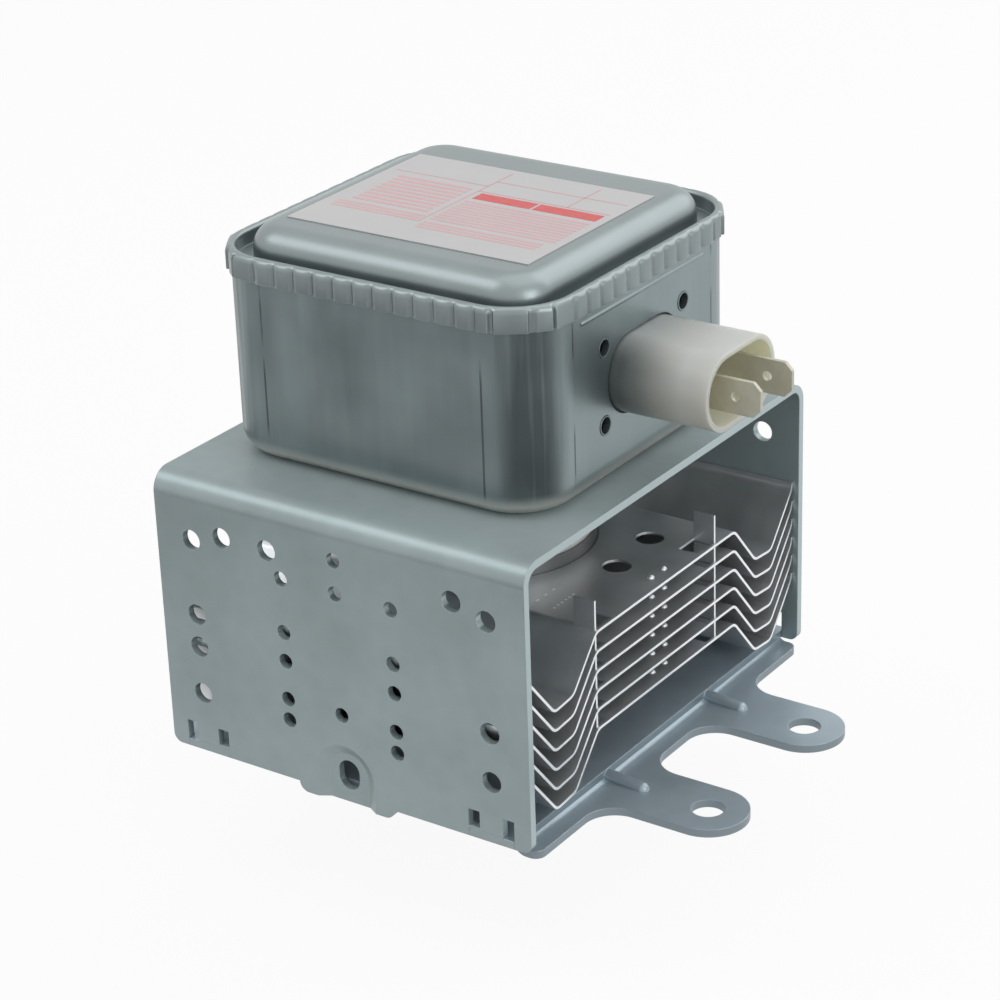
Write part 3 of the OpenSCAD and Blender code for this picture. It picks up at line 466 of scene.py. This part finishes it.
def fired_ceramic(name, colour):
    """Alumina or capacitor ceramic: dense, faintly grained, a little translucent."""
    finish = Finish(name, 0.0)
    finish.set("Subsurface Weight", 0.15)
    finish.set("Subsurface Radius", (1, 0.85, 0.7))
    finish.set("Subsurface Scale", 0.6 * MM)
    cloud = finish.noise(3 * MM, detail=4)
    fine = finish.noise(0.3 * MM)
    finish.colour(finish.mixed(finish.spread(cloud, 0.3, 0.7), scaled(colour, 0.94), colour))
    finish.roughness(finish.spread(fine, 0.3, 0.7, 0.26, 0.4))
    finish.relief(fine, 0.01 * MM, 0.2 * MM)
    return finish.material


def moulded_plastic(name, colour, inside, root, box):
    """Moulded plastic: fine texture, a paler colour as painted light on faces that look inwards, and painted
    shade on its sides towards its root.
    """
    low, high = box
    length = high.y - low.y
    finish = Finish(name, 0.0)
    finish.set("Subsurface Weight", 0.9)
    finish.set("Subsurface Radius", (1, 0.9, 0.6))
    finish.set("Subsurface Scale", 4 * MM)
    flow = finish.noise(6 * MM, detail=3)
    fine = finish.noise(0.35 * MM)
    # Painted light: faces that look inwards take the paler inside colour
    body = finish.mixed(finish.inward((low + high) / 2), colour, inside)
    # Painted shade: the sides, most of all those facing X, darken towards the root
    rootward = finish.spread(finish.along("Y"), low.y + ROOT_START * length, low.y + ROOT_FULL * length)
    root_painted_shade = finish.product(rootward, finish.spread(finish.facing("X"), 0.0, 0.9, 0.25, 0.95))
    painted_shaded_body = finish.mixed(root_painted_shade, body, root)
    finish.colour(finish.mixed(finish.spread(flow, 0.25, 0.75, 0.0, 0.12), painted_shaded_body, scaled(colour, 0.8)))
    finish.roughness(finish.spread(finish.sum(flow, fine, 0.5), 0.4, 1.0, 0.28, 0.44))
    finish.relief(fine, 0.012 * MM, 0.25 * MM)
    return finish.material


def coated_paper(name, colour):
    """Label stock and the inks on it: faint fibres under a dull coating."""
    finish = Finish(name, 0.0)
    fibre = finish.noise(0.6 * MM, stretch=(1, 0.3, 1), detail=4)
    cloud = finish.noise(12 * MM)
    mottle = finish.spread(finish.sum(cloud, fibre, 0.4), 0.4, 1.0)
    finish.colour(finish.mixed(mottle, scaled(colour, 0.95), colour))
    finish.roughness(finish.spread(fibre, 0.3, 0.7, 0.38, 0.52))
    finish.relief(fibre, 0.005 * MM, 0.05 * MM)
    return finish.material


def dress(material, *names):
    """Gives CAD nodes a finish."""
    for name in names:
        slots = NODES[name].data.materials
        if len(slots):
            for index in range(len(slots)):
                slots[index] = material
        else:
            slots.append(material)


# Pieces made here

def mesh_object(name, bm, material):
    """Turns a bmesh into an object of the scene."""
    mesh = bpy.data.meshes.new(name)
    bm.to_mesh(mesh)
    bm.free()
    mesh.materials.append(material)
    piece = bpy.data.objects.new(name, mesh)
    bpy.context.scene.collection.objects.link(piece)
    return piece


def finished_piece(name, bm, material):
    """Turns a bmesh into a piece that rides on the model."""
    piece = mesh_object(name, bm, material)
    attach(piece, "root")
    return piece


def slab(bm, low, high):
    """Box between two corners."""
    low = Vector(low)
    high = Vector(high)
    bmesh.ops.create_cube(bm, size=1, matrix=Matrix.LocRotScale((low + high) / 2, None, high - low))


# Lid: the solid one's dome and skirt, with a slightly shallower moat
LID_SHEET = 0.4 * MM
DOME_INSET = 4 * MM
DOME_ROUND = 4.6 * MM
DOME_RISE = 3.3 * MM
DOME_TURNS = range(90, -1, -10)
FLAT_MARGIN = 0.7 * MM
HEM_ROUND = 0.7 * MM
MOAT_DEPTH = 2.6 * MM
SKIRT_HEIGHT = 4.5 * MM
# Turns round the hem in degrees, each with its share of the crimp
HEM_TURNS = ((180, 0), (150, 0), (120, 0), (90, 0.1), (60, 0.3), (30, 0.55), (0, 0.8))
FLUTE_LEAD = 0.5 * MM
FLUTE_POWER = 3
FLUTE_STEPS = 8
FOLD_SHARE = 0.5
CORNER_STEPS = 45
CORNER_TOUCH = 0.001 * MM
SHARP_TURN = 32


class Fold(NamedTuple):
    """Flat fold of the skirt round a corner, in degrees."""
    start: float
    end: float
    lean: float


FOLDS = (Fold(1, 14, -5), Fold(16, 46, 2), Fold(52, 66, -9), Fold(68, 87, 5))


def lid_line(top, under):
    """Section of the lid from the flat of its dome out to the foot of its skirt, at a depth under its face.

    Each point is its distance from the corner centres, its height and its share of the crimp.
    """
    dome = CASE_CORNER - DOME_INSET
    dome_mid = dome - DOME_ROUND
    hem = CASE_CORNER - CASE_WALL / 2
    hem_z = top - DOME_RISE - HEM_ROUND
    dome_round = DOME_ROUND - under
    hem_round = HEM_ROUND - under
    line = [(dome_mid - FLAT_MARGIN, top - under, 0)]
    for turn in DOME_TURNS:
        angle = math.radians(turn)
        z = top - DOME_ROUND + dome_round * math.sin(angle)
        line.append((dome_mid + dome_round * math.cos(angle), z, 0))
    floor = hem_z - MOAT_DEPTH + LID_SHEET - under
    line.append((dome - under, floor, 0))
    line.append((hem - hem_round, floor, 0))
    for turn, share in HEM_TURNS:
        angle = math.radians(turn)
        line.append((hem + hem_round * math.cos(angle), hem_z + hem_round * math.sin(angle), share))
    line.append((hem + hem_round, hem_z - FLUTE_LEAD, 1))
    line.append((hem + hem_round, hem_z + HEM_ROUND - SKIRT_HEIGHT, 1))
    return line


def crimp(core, outward, depth, count):
    """How far the skirt stands out: rolled flutes on the straight runs and flat folds round the corners."""
    if abs(core.x) < CORE.x - CORNER_TOUCH or abs(core.y) < CORE.y - CORNER_TOUCH:
        along = core.x / CORE.x if abs(outward.y) > abs(outward.x) else core.y / CORE.y
        flute = (along + 1) / 2 * count % 1
        return depth * (1 - abs(2 * flute - 1) ** FLUTE_POWER)
    angle = math.degrees(math.atan2(outward.y, outward.x)) % 90
    for fold in FOLDS:
        if fold.start <= angle <= fold.end:
            turn = math.radians(angle - (fold.start + fold.end) / 2 - fold.lean)
            return FOLD_SHARE * depth + CASE_CORNER * (1 / math.cos(turn) - 1)
    return 0


def set_out(vert, point, depth, count):
    """Moves a vertex of a row out from the corner centres to its place on the section."""
    radius, z, share = point
    place = vert.co.xy - CASE_SHIFT
    core = Vector((max(-CORE.x, min(CORE.x, place.x)), max(-CORE.y, min(CORE.y, place.y))))
    outward = (place - core).normalized()
    place = CASE_SHIFT + core + outward * (radius + share * crimp(core, outward, depth, count))
    vert.co = (*place, z)


def smooth(bm, limit):
    """Smooth faces, with the edges sharper than the limit in degrees kept sharp."""
    for face in bm.faces:
        face.smooth = True
    for edge in bm.edges:
        edge.smooth = edge.calc_face_angle(0) < math.radians(limit)


def crimped_lid(bm, top, depth, count):
    """Domed lid in folded sheet, grown row by row from the outline of its flat."""
    line = lid_line(top, 0) + lid_line(top, LID_SHEET)[::-1]
    start = line[0][0]
    span = 2 * (CORE + Vector((start, start)))
    outline = Matrix.LocRotScale((*CASE_SHIFT, top), None, (*span, 1))
    bmesh.ops.create_grid(bm, x_segments=1, y_segments=1, size=0.5, matrix=outline)
    bmesh.ops.bevel(bm, geom=bm.verts[:], offset=start, segments=CORNER_STEPS, profile=0.5,
        affect="VERTICES", material=-1)
    runs = [edge for edge in bm.edges if edge.calc_length() > CORE.x]
    bmesh.ops.subdivide_edges(bm, edges=runs, cuts=count * FLUTE_STEPS - 1)
    row = bm.edges[:]
    for point in line[1:]:
        grown = bmesh.ops.extrude_edge_only(bm, edges=row)["geom"]
        for vert in grown:
            if isinstance(vert, bmesh.types.BMVert):
                set_out(vert, point, depth, count)
        row = [edge for edge in grown if isinstance(edge, bmesh.types.BMEdge) and edge.is_boundary]
    bmesh.ops.contextual_create(bm, geom=row)
    bmesh.ops.recalc_face_normals(bm, faces=bm.faces)
    smooth(bm, SHARP_TURN)


class MarkRow(NamedTuple):
    """Row of marks along X on the top fin, in millimetres, with each mark's length over its width."""
    y: float
    start: float
    pitch: float
    count: int
    stretch: float


MARK_ROWS = (MarkRow(-23, -19.1, 2.6, 3, 2.2), MarkRow(-27.15, -20, 1.25, 6, 1.0))
MARK_RISE = 0.5
# Near-white colours of the marks: painted light, for the light that comes through them, not the fin's metal
MARK_PAINTED_LIGHT = (0.95, 0.95, 0.95)
MARK_PAINTED_LIGHT_DULL = (0.8, 0.8, 0.8)
# Height of the top fin's upper face, in millimetres
FIN_FACE = 34.4


class Field(NamedTuple):
    """Printed rectangle, in shares of the label's sides."""
    left: float
    right: float
    bottom: float
    top: float


BARS = (Field(0.455, 0.695, 0.585, 0.665), Field(0.705, 0.965, 0.585, 0.665))
# Left end, right end and height of each level line
LEVEL_RULES = ((0.43, 0.975, 0.685), (0.43, 0.975, 0.83), (0.03, 0.43, 0.76))
# Place across, foot and top of each upright line
UPRIGHT_RULES = ((0.43, 0.22, 0.96), (0.80, 0.685, 0.96))
# Blocks of pale lines, each with how many lines it holds
BLOCKS = (
    (Field(0.45, 0.965, 0.27, 0.565), 9),
    (Field(0.08, 0.40, 0.34, 0.72), 9),
    (Field(0.05, 0.42, 0.225, 0.315), 3),
    (Field(0.45, 0.94, 0.16, 0.25), 3),
)
# Share of its pitch that a line fills
LINE_SHARE = 0.55


class LabelSheet:
    """Places on the label, from 0 to 1: across along -Y, the way the print reads, and up along +X."""

    def __init__(self, height, rule_width):
        self.low, self.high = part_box("lid_label")
        self.height = height
        self.rule_width = rule_width

    def field(self, bm, field):
        """Printed rectangle."""
        size = self.high - self.low
        slab(bm, (self.low.x + field.bottom * size.x, self.high.y - field.right * size.y, self.high.z),
            (self.low.x + field.top * size.x, self.high.y - field.left * size.y, self.high.z + self.height))

    def level_rule(self, bm, left, right, at):
        half = self.rule_width / (self.high.x - self.low.x) / 2
        self.field(bm, Field(left, right, at - half, at + half))

    def upright_rule(self, bm, at, bottom, top):
        half = self.rule_width / (self.high.y - self.low.y) / 2
        self.field(bm, Field(at - half, at + half, bottom, top))

    def block(self, bm, field, count):
        """Block of even lines."""
        pitch = (field.top - field.bottom) / count
        for row in range(count):
            bottom = field.bottom + row * pitch
            top = field.bottom + (row + LINE_SHARE) * pitch
            self.field(bm, Field(field.left, field.right, bottom, top))


# Course of a gasket wire: how far in from the rim, in shares of the ring's height and of the wire's reach,
# and how high, in shares of the ring's height
WIRE_COURSE = ((0, 0, 0.92), (0, 0, 0.4), (0.08, 0, 0.12), (0.25, 0, 0), (0, 0.6, 0), (0, 1, 0))
# How many pitches a wire turns on its way
WIRE_TWIST = 3


def strand(curve, ring, turn, twist, reach):
    """Wire down the gasket's side, round its lower edge and in under it, turning as it goes."""
    low, high = ring
    drop = high.z - low.z
    spline = curve.splines.new("POLY")
    spline.points.add(len(WIRE_COURSE) - 1)
    for index, (of_drop, of_reach, up) in enumerate(WIRE_COURSE):
        radius = high.x - of_drop * drop - of_reach * reach
        angle = turn + twist * index / (len(WIRE_COURSE) - 1)
        spline.points[index].co = (radius * math.cos(angle), radius * math.sin(angle), low.z + up * drop, 1)


# Studio

CAMERA_PLACE = Vector((-411.377, -290.113, 269.072)) * MM
CAMERA_YAW = math.radians(34.967)
CAMERA_DIP = math.radians(24.357)
CAMERA_ROLL = math.radians(-2.003)
CAMERA_SENSOR = 36
FLOOR_GAP = 0.5 * MM
FLOOR_RADIUS = 6
FLOOR_SIDES = 64
FLOOR_ROUGHNESS = 0.9
# Tones of the floor for bounced light, and for the camera and reflections
FLOOR_TONES = (0.35, 0.95)
UPRIGHT = Vector((0, 0, 1))


class Lamp(NamedTuple):
    """Square soft light: its place and side in metres, and the setting that holds its power."""
    name: str
    place: tuple
    side: float
    power: str


LAMPS = (
    Lamp("top_light", (0.15, -0.1, 0.95), 1.0, "top_power"),
    Lamp("back_light", (-0.37, 0.47, 0.72), 0.45, "back_power"),
    Lamp("right_light", (0.8, -0.32, 0.62), 0.75, "right_power"),
    Lamp("front_light", (-0.2, -0.9, 0.35), 0.5, "front_power"),
)


class Flag(NamedTuple):
    """Grey card on the floor that only reflections see, in millimetres and degrees."""
    name: str
    place: tuple
    size: tuple
    turn: float
    tone: float


FLAGS = (
    Flag("camera_flag", (-151, -199), (200, 400), 55, 0.045),
    Flag("corner_flag", (-343, 55), (175, 215), 55, 0.12),
    Flag("left_flag", (-260, 250), (240, 300), 55, 0.33),
)


def place_camera(scene, lens):
    """Camera at the photograph's viewing angle."""
    data = bpy.data.cameras.new("camera")
    data.lens = lens
    data.sensor_width = CAMERA_SENSOR
    camera = bpy.data.objects.new("camera", data)
    level = math.cos(CAMERA_DIP)
    forward = Vector((level * math.cos(CAMERA_YAW), level * math.sin(CAMERA_YAW), -math.sin(CAMERA_DIP)))
    turn = forward.to_track_quat("-Z", "Y") @ Quaternion(UPRIGHT, CAMERA_ROLL)
    camera.matrix_world = Matrix.LocRotScale(CAMERA_PLACE, turn, None)
    scene.collection.objects.link(camera)
    scene.camera = camera


def shown_rays(tree):
    """1 for camera, glossy and transmission rays, which see the white background, and 0 for the rest."""
    rays = tree.nodes.new("ShaderNodeLightPath")
    shown = rays.outputs["Is Camera Ray"]
    for name in ("Is Glossy Ray", "Is Transmission Ray"):
        either = tree.nodes.new("ShaderNodeMath")
        either.operation = "MAXIMUM"
        tree.links.new(shown, either.inputs[0])
        tree.links.new(rays.outputs[name], either.inputs[1])
        shown = either.outputs["Value"]
    return shown


def shown_share(tree, hidden, shown):
    """One number for the rays of shown_rays and another for the rest."""
    share = tree.nodes.new("ShaderNodeMapRange")
    share.inputs["To Min"].default_value = hidden
    share.inputs["To Max"].default_value = shown
    tree.links.new(shown_rays(tree), share.inputs["Value"])
    return share.outputs["Result"]


def stage_piece(name, bm, material):
    """Turns a bmesh into a piece of the studio."""
    piece = mesh_object(name, bm, material)
    return piece


def lay_floor(shadow):
    """Wide white floor just under the antenna, on which a little of the shadow shows."""
    material = bpy.data.materials.new("floor_white")
    material.use_nodes = True
    tree = material.node_tree
    shader = tree.nodes["Principled BSDF"]
    shader.inputs["Roughness"].default_value = FLOOR_ROUGHNESS
    tree.links.new(shown_share(tree, *FLOOR_TONES), shader.inputs["Base Color"])
    white = tree.nodes.new("ShaderNodeEmission")
    white.inputs["Strength"].default_value = 1.0
    mix = tree.nodes.new("ShaderNodeMixShader")
    tree.links.new(shown_share(tree, 0, 1 - shadow), mix.inputs["Fac"])
    tree.links.new(shader.outputs["BSDF"], mix.inputs[1])
    tree.links.new(white.outputs["Emission"], mix.inputs[2])
    tree.links.new(mix.outputs["Shader"], tree.nodes["Material Output"].inputs["Surface"])
    bm = bmesh.new()
    bmesh.ops.create_circle(bm, cap_ends=True, radius=FLOOR_RADIUS, segments=FLOOR_SIDES)
    floor = stage_piece("floor", bm, material)
    floor.location.z = CAD_BOUNDS[0][2] - FLOOR_GAP


def lay_flag(flag):
    """Card that darkens what the sheet metal mirrors, out of the camera's sight."""
    material = bpy.data.materials.new(flag.name)
    material.use_nodes = True
    tree = material.node_tree
    tree.nodes.remove(tree.nodes["Principled BSDF"])
    grey = tree.nodes.new("ShaderNodeEmission")
    grey.inputs["Color"].default_value = (flag.tone, flag.tone, flag.tone, 1)
    tree.links.new(grey.outputs["Emission"], tree.nodes["Material Output"].inputs["Surface"])
    bm = bmesh.new()
    place = Vector((flag.place[0] * MM, flag.place[1] * MM, CAD_BOUNDS[0][2]))
    turn = Quaternion(UPRIGHT, math.radians(flag.turn))
    size = Vector((flag.size[0] * MM, flag.size[1] * MM, 1))
    laid = Matrix.LocRotScale(place, turn, size)
    bmesh.ops.create_grid(bm, x_segments=1, y_segments=1, size=0.5, matrix=laid)
    card = stage_piece(flag.name, bm, material)
    card.visible_camera = False
    card.visible_diffuse = False
    card.visible_shadow = False


def hang_light(lamp, power):
    """Light that looks at the model's middle."""
    data = bpy.data.lights.new(lamp.name, "AREA")
    data.shape = "SQUARE"
    data.size = lamp.side
    data.energy = power
    light = bpy.data.objects.new(lamp.name, data)
    place = Vector(lamp.place)
    middle = (Vector(CAD_BOUNDS[0]) + Vector(CAD_BOUNDS[1])) / 2
    turn = (middle - place).to_track_quat("-Z", "Y")
    light.matrix_world = Matrix.LocRotScale(place, turn, None)
    bpy.context.scene.collection.objects.link(light)


def surround(scene, fill):
    """White all round for the camera and for reflections, and an even fill light."""
    world = bpy.data.worlds.new("studio")
    scene.world = world
    world.use_nodes = True
    tree = world.node_tree
    background = tree.nodes["Background"]
    background.inputs["Color"].default_value = (1, 1, 1, 1)
    tree.links.new(shown_share(tree, fill, 1.0), background.inputs["Strength"])


# Steps

class MAGNETRON_OT_sheet_metal(bpy.types.Operator):
    """Finishes the yoke, the base plate and the cooling fins"""
    bl_idname = "magnetron.sheet_metal"
    bl_label = "Sheet metal"

    def execute(self, context):
        colours = context.scene.magnetron_colours
        # The yoke's cut edges are painted lighter, as a highlight
        yoke = plated_sheet("yoke_zinc", colours.yoke, sheen=0.42, top_sheen=0.06,
            cut_edge_painted_light=scaled(colours.yoke, 1.35), ends=colours.yoke)
        dress(yoke, "yoke_frame")
        # The base plate's cut edges are painted darker, as shade
        base = plated_sheet("base_zinc", colours.base, sheen=0.4, top_sheen=0.4,
            cut_edge_painted_light=scaled(colours.base, 0.7), ends=colours.yoke)
        dress(base, "base_plate")
        fins = [name for name in NODES if name.startswith("cooling_fin")]
        dress(rolled_aluminium("fin_aluminium", colours.fin), *fins)
        return {"FINISHED"}


class MAGNETRON_OT_fin_marks(bpy.types.Operator):
    """Lays the two rows of small pressed marks on the top fin, in white as painted light"""
    bl_idname = "magnetron.fin_marks"
    bl_label = "Fin marks"

    def execute(self, context):
        radius = context.scene.magnetron_sizes.mark_radius
        bm = bmesh.new()
        for row in MARK_ROWS:
            for number in range(row.count):
                place = Vector((row.start + number * row.pitch, row.y, FIN_FACE)) * MM
                size = Matrix.LocRotScale(place, None, (radius * row.stretch, radius, radius * MARK_RISE))
                bmesh.ops.create_icosphere(bm, subdivisions=2, radius=1, matrix=size)
        # The marks' white is painted light
        painted_mark_light = bare_metal("mark_metal", MARK_PAINTED_LIGHT, MARK_PAINTED_LIGHT_DULL, roughness=0.4, metallic=0.0)
        finished_piece("fin_marks", bm, painted_mark_light)
        return {"FINISHED"}


class MAGNETRON_OT_filter_case(bpy.types.Operator):
    """Finishes the filter box, makes its crimped lid and finishes what fastens them"""
    bl_idname = "magnetron.filter_case"
    bl_label = "Filter case"

    def execute(self, context):
        colours = context.scene.magnetron_colours
        sizes = context.scene.magnetron_sizes
        dress(drawn_sheet("drawn_steel", colours.drawn_steel, colours.painted_foot_reflection), "filter_box")
        lid_steel = pressed_sheet("lid_steel", colours.lid_steel)
        dress(lid_steel, "filter_lid")
        bm = bmesh.new()
        crimped_lid(bm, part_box("filter_lid")[1].z, sizes.flute_depth, sizes.flute_count)
        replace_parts(finished_piece("crimped_lid", bm, lid_steel), "filter_lid")
        nickel = bare_metal("rivet_nickel", colours.nickel, scaled(colours.nickel, 0.75), roughness=0.31)
        dress(nickel, "box_rivets")
        tarnish = scaled(colours.drawn_steel, 0.6)
        dress(bare_metal("flange_steel", colours.drawn_steel, tarnish, roughness=0.45), "capacitor_flange")
        return {"FINISHED"}


class MAGNETRON_OT_tube(bpy.types.Operator):
    """Finishes the magnets, the vacuum tube and the chokes"""
    bl_idname = "magnetron.tube"
    bl_label = "Magnets and tube"

    def execute(self, context):
        colours = context.scene.magnetron_colours
        copper = bare_metal("bare_copper", colours.copper, scaled(colours.copper, 0.6), roughness=0.34)
        dress(copper, "anode_vanes", "strap_rings", "antenna_lead", "exhaust_tube", "left_choke",
            "right_choke")
        # Painted highlight: the anode is near white and hardly metallic, standing in for the white light its
        # plating mirrors
        plating_and_glint = bare_metal("anode_plating", colours.anode, scaled(colours.anode, 0.9), roughness=0.31,
            metallic=0.2)
        dress(plating_and_glint, "anode_cylinder")
        nickel = bare_metal("tube_nickel", colours.nickel, scaled(colours.nickel, 0.7), roughness=0.31)
        dress(nickel, "lower_pole_piece", "upper_pole_piece", "lower_sealing_cup", "upper_sealing_cup")
        tungsten = bare_metal("bare_tungsten", colours.tungsten, scaled(colours.tungsten, 0.6),
            roughness=0.45)
        dress(tungsten, "filament_coil", "lower_end_hat", "upper_end_hat", "centre_lead", "side_lead")
        ferrite = sintered_ferrite("ferrite", colours.ferrite)
        dress(ferrite, "lower_magnet", "upper_magnet", "left_ferrite", "right_ferrite")
        dress(fired_ceramic("alumina", colours.alumina), "stem_ceramic", "antenna_ceramic")
        cap = bare_metal("cap_metal", colours.cap, scaled(colours.cap, 0.8), roughness=0.31)
        dress(cap, "antenna_cap")
        return {"FINISHED"}


class MAGNETRON_OT_connector(bpy.types.Operator):
    """Finishes the connector and the feed-through capacitor"""
    bl_idname = "magnetron.connector"
    bl_label = "Connector"

    def execute(self, context):
        colours = context.scene.magnetron_colours
        shroud = moulded_plastic("shroud_plastic", colours.shroud, colours.shroud_inside_light,
            colours.shroud_painted_shade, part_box("connector_shroud"))
        dress(shroud, "connector_shroud")
        cover = moulded_plastic("cover_plastic", colours.cover, colours.cover, colours.cover,
            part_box("capacitor_cover"))
        dress(cover, "capacitor_cover")
        dress(fired_ceramic("capacitor_ceramic", colours.capacitor), "capacitor_block")
        tin = bare_metal("tab_metal", colours.tab, scaled(colours.tab, 0.85), roughness=0.4, metallic=0.25)
        dress(tin, "left_terminal", "right_terminal")
        return {"FINISHED"}


class MAGNETRON_OT_label(bpy.types.Operator):
    """Finishes the label and lays plain fields of colour on it"""
    bl_idname = "magnetron.label"
    bl_label = "Label"

    def execute(self, context):
        colours = context.scene.magnetron_colours
        sizes = context.scene.magnetron_sizes
        dress(coated_paper("label_paper", colours.paper), "lid_label")
        sheet = LabelSheet(sizes.print_height, sizes.rule_width)
        bars = bmesh.new()
        for bar in BARS:
            sheet.field(bars, bar)
        finished_piece("label_bar", bars, coated_paper("red_ink", colours.bar))
        rules = bmesh.new()
        for rule in LEVEL_RULES:
            sheet.level_rule(rules, *rule)
        for rule in UPRIGHT_RULES:
            sheet.upright_rule(rules, *rule)
        finished_piece("label_rules", rules, coated_paper("rose_ink", colours.rule))
        fields = bmesh.new()
        for block, count in BLOCKS:
            sheet.block(fields, block, count)
        finished_piece("label_fields", fields, coated_paper("pale_ink", colours.panel))
        return {"FINISHED"}


class MAGNETRON_OT_gasket(bpy.types.Operator):
    """Lays crossing wires over the gasket ring, as its knitted sleeve"""
    bl_idname = "magnetron.gasket"
    bl_label = "Knitted gasket"

    def execute(self, context):
        colours = context.scene.magnetron_colours
        sizes = context.scene.magnetron_sizes
        wire_metal = bare_metal("knitted_wire", colours.mesh, scaled(colours.mesh, 0.7), roughness=0.32)
        core = bare_metal("gasket_core", scaled(colours.mesh, 0.4), scaled(colours.mesh, 0.2), roughness=0.5)
        dress(core, "rf_gasket")
        curve = bpy.data.curves.new("gasket_wires", "CURVE")
        curve.dimensions = "3D"
        curve.bevel_depth = sizes.wire_radius
        curve.bevel_resolution = 1
        curve.use_fill_caps = True
        pitch = math.tau / sizes.wire_strands
        for number in range(sizes.wire_strands):
            for twist in (WIRE_TWIST * pitch, -WIRE_TWIST * pitch):
                strand(curve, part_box("rf_gasket"), number * pitch, twist, sizes.wire_reach)
        wound = bpy.data.objects.new("gasket_wires", curve)
        context.scene.collection.objects.link(wound)
        bm = bmesh.new()
        bm.from_mesh(wound.to_mesh())
        bpy.data.objects.remove(wound)
        finished_piece("gasket_knit", bm, wire_metal)
        return {"FINISHED"}


class MAGNETRON_OT_stage(bpy.types.Operator):
    """Sets up the camera, the floor, the lights and the white surroundings"""
    bl_idname = "magnetron.stage"
    bl_label = "Studio"

    def execute(self, context):
        studio = context.scene.magnetron_studio
        context.scene.view_settings.view_transform = "Standard"
        place_camera(context.scene, studio.lens)
        lay_floor(studio.shadow)
        for lamp in LAMPS:
            hang_light(lamp, getattr(studio, lamp.power))
        for flag in FLAGS:
            lay_flag(flag)
        surround(context.scene, studio.fill)
        return {"FINISHED"}


class MAGNETRON_PT_finishes(bpy.types.Panel):
    """Lists the steps and their settings"""
    bl_label = "Magnetron"
    bl_space_type = "VIEW_3D"
    bl_region_type = "UI"
    bl_category = "Magnetron"

    def draw(self, context):
        for step in STEPS:
            self.layout.operator(step.bl_idname)
        for setting, group in GROUPS.items():
            for name in group.__annotations__:
                self.layout.prop(getattr(context.scene, setting), name)


STEPS = (
    MAGNETRON_OT_sheet_metal,
    MAGNETRON_OT_fin_marks,
    MAGNETRON_OT_filter_case,
    MAGNETRON_OT_tube,
    MAGNETRON_OT_connector,
    MAGNETRON_OT_label,
    MAGNETRON_OT_gasket,
    MAGNETRON_OT_stage,
)
GROUPS = {
    "magnetron_colours": MagnetronColours,
    "magnetron_sizes": MagnetronSizes,
    "magnetron_studio": MagnetronStudio,
}


def register():
    for name, group in GROUPS.items():
        bpy.utils.register_class(group)
        setattr(bpy.types.Scene, name, PointerProperty(type=group))
    for step in STEPS:
        bpy.utils.register_class(step)
    bpy.utils.register_class(MAGNETRON_PT_finishes)


def unregister():
    bpy.utils.unregister_class(MAGNETRON_PT_finishes)
    for step in reversed(STEPS):
        bpy.utils.unregister_class(step)
    for name, group in GROUPS.items():
        delattr(bpy.types.Scene, name)
        bpy.utils.unregister_class(group)


def main():
    register()
    bpy.ops.magnetron.sheet_metal()
    bpy.ops.magnetron.fin_marks()
    bpy.ops.magnetron.filter_case()
    bpy.ops.magnetron.tube()
    bpy.ops.magnetron.connector()
    bpy.ops.magnetron.label()
    bpy.ops.magnetron.gasket()
    bpy.ops.magnetron.stage()


if __name__ == "__main__":
    main()
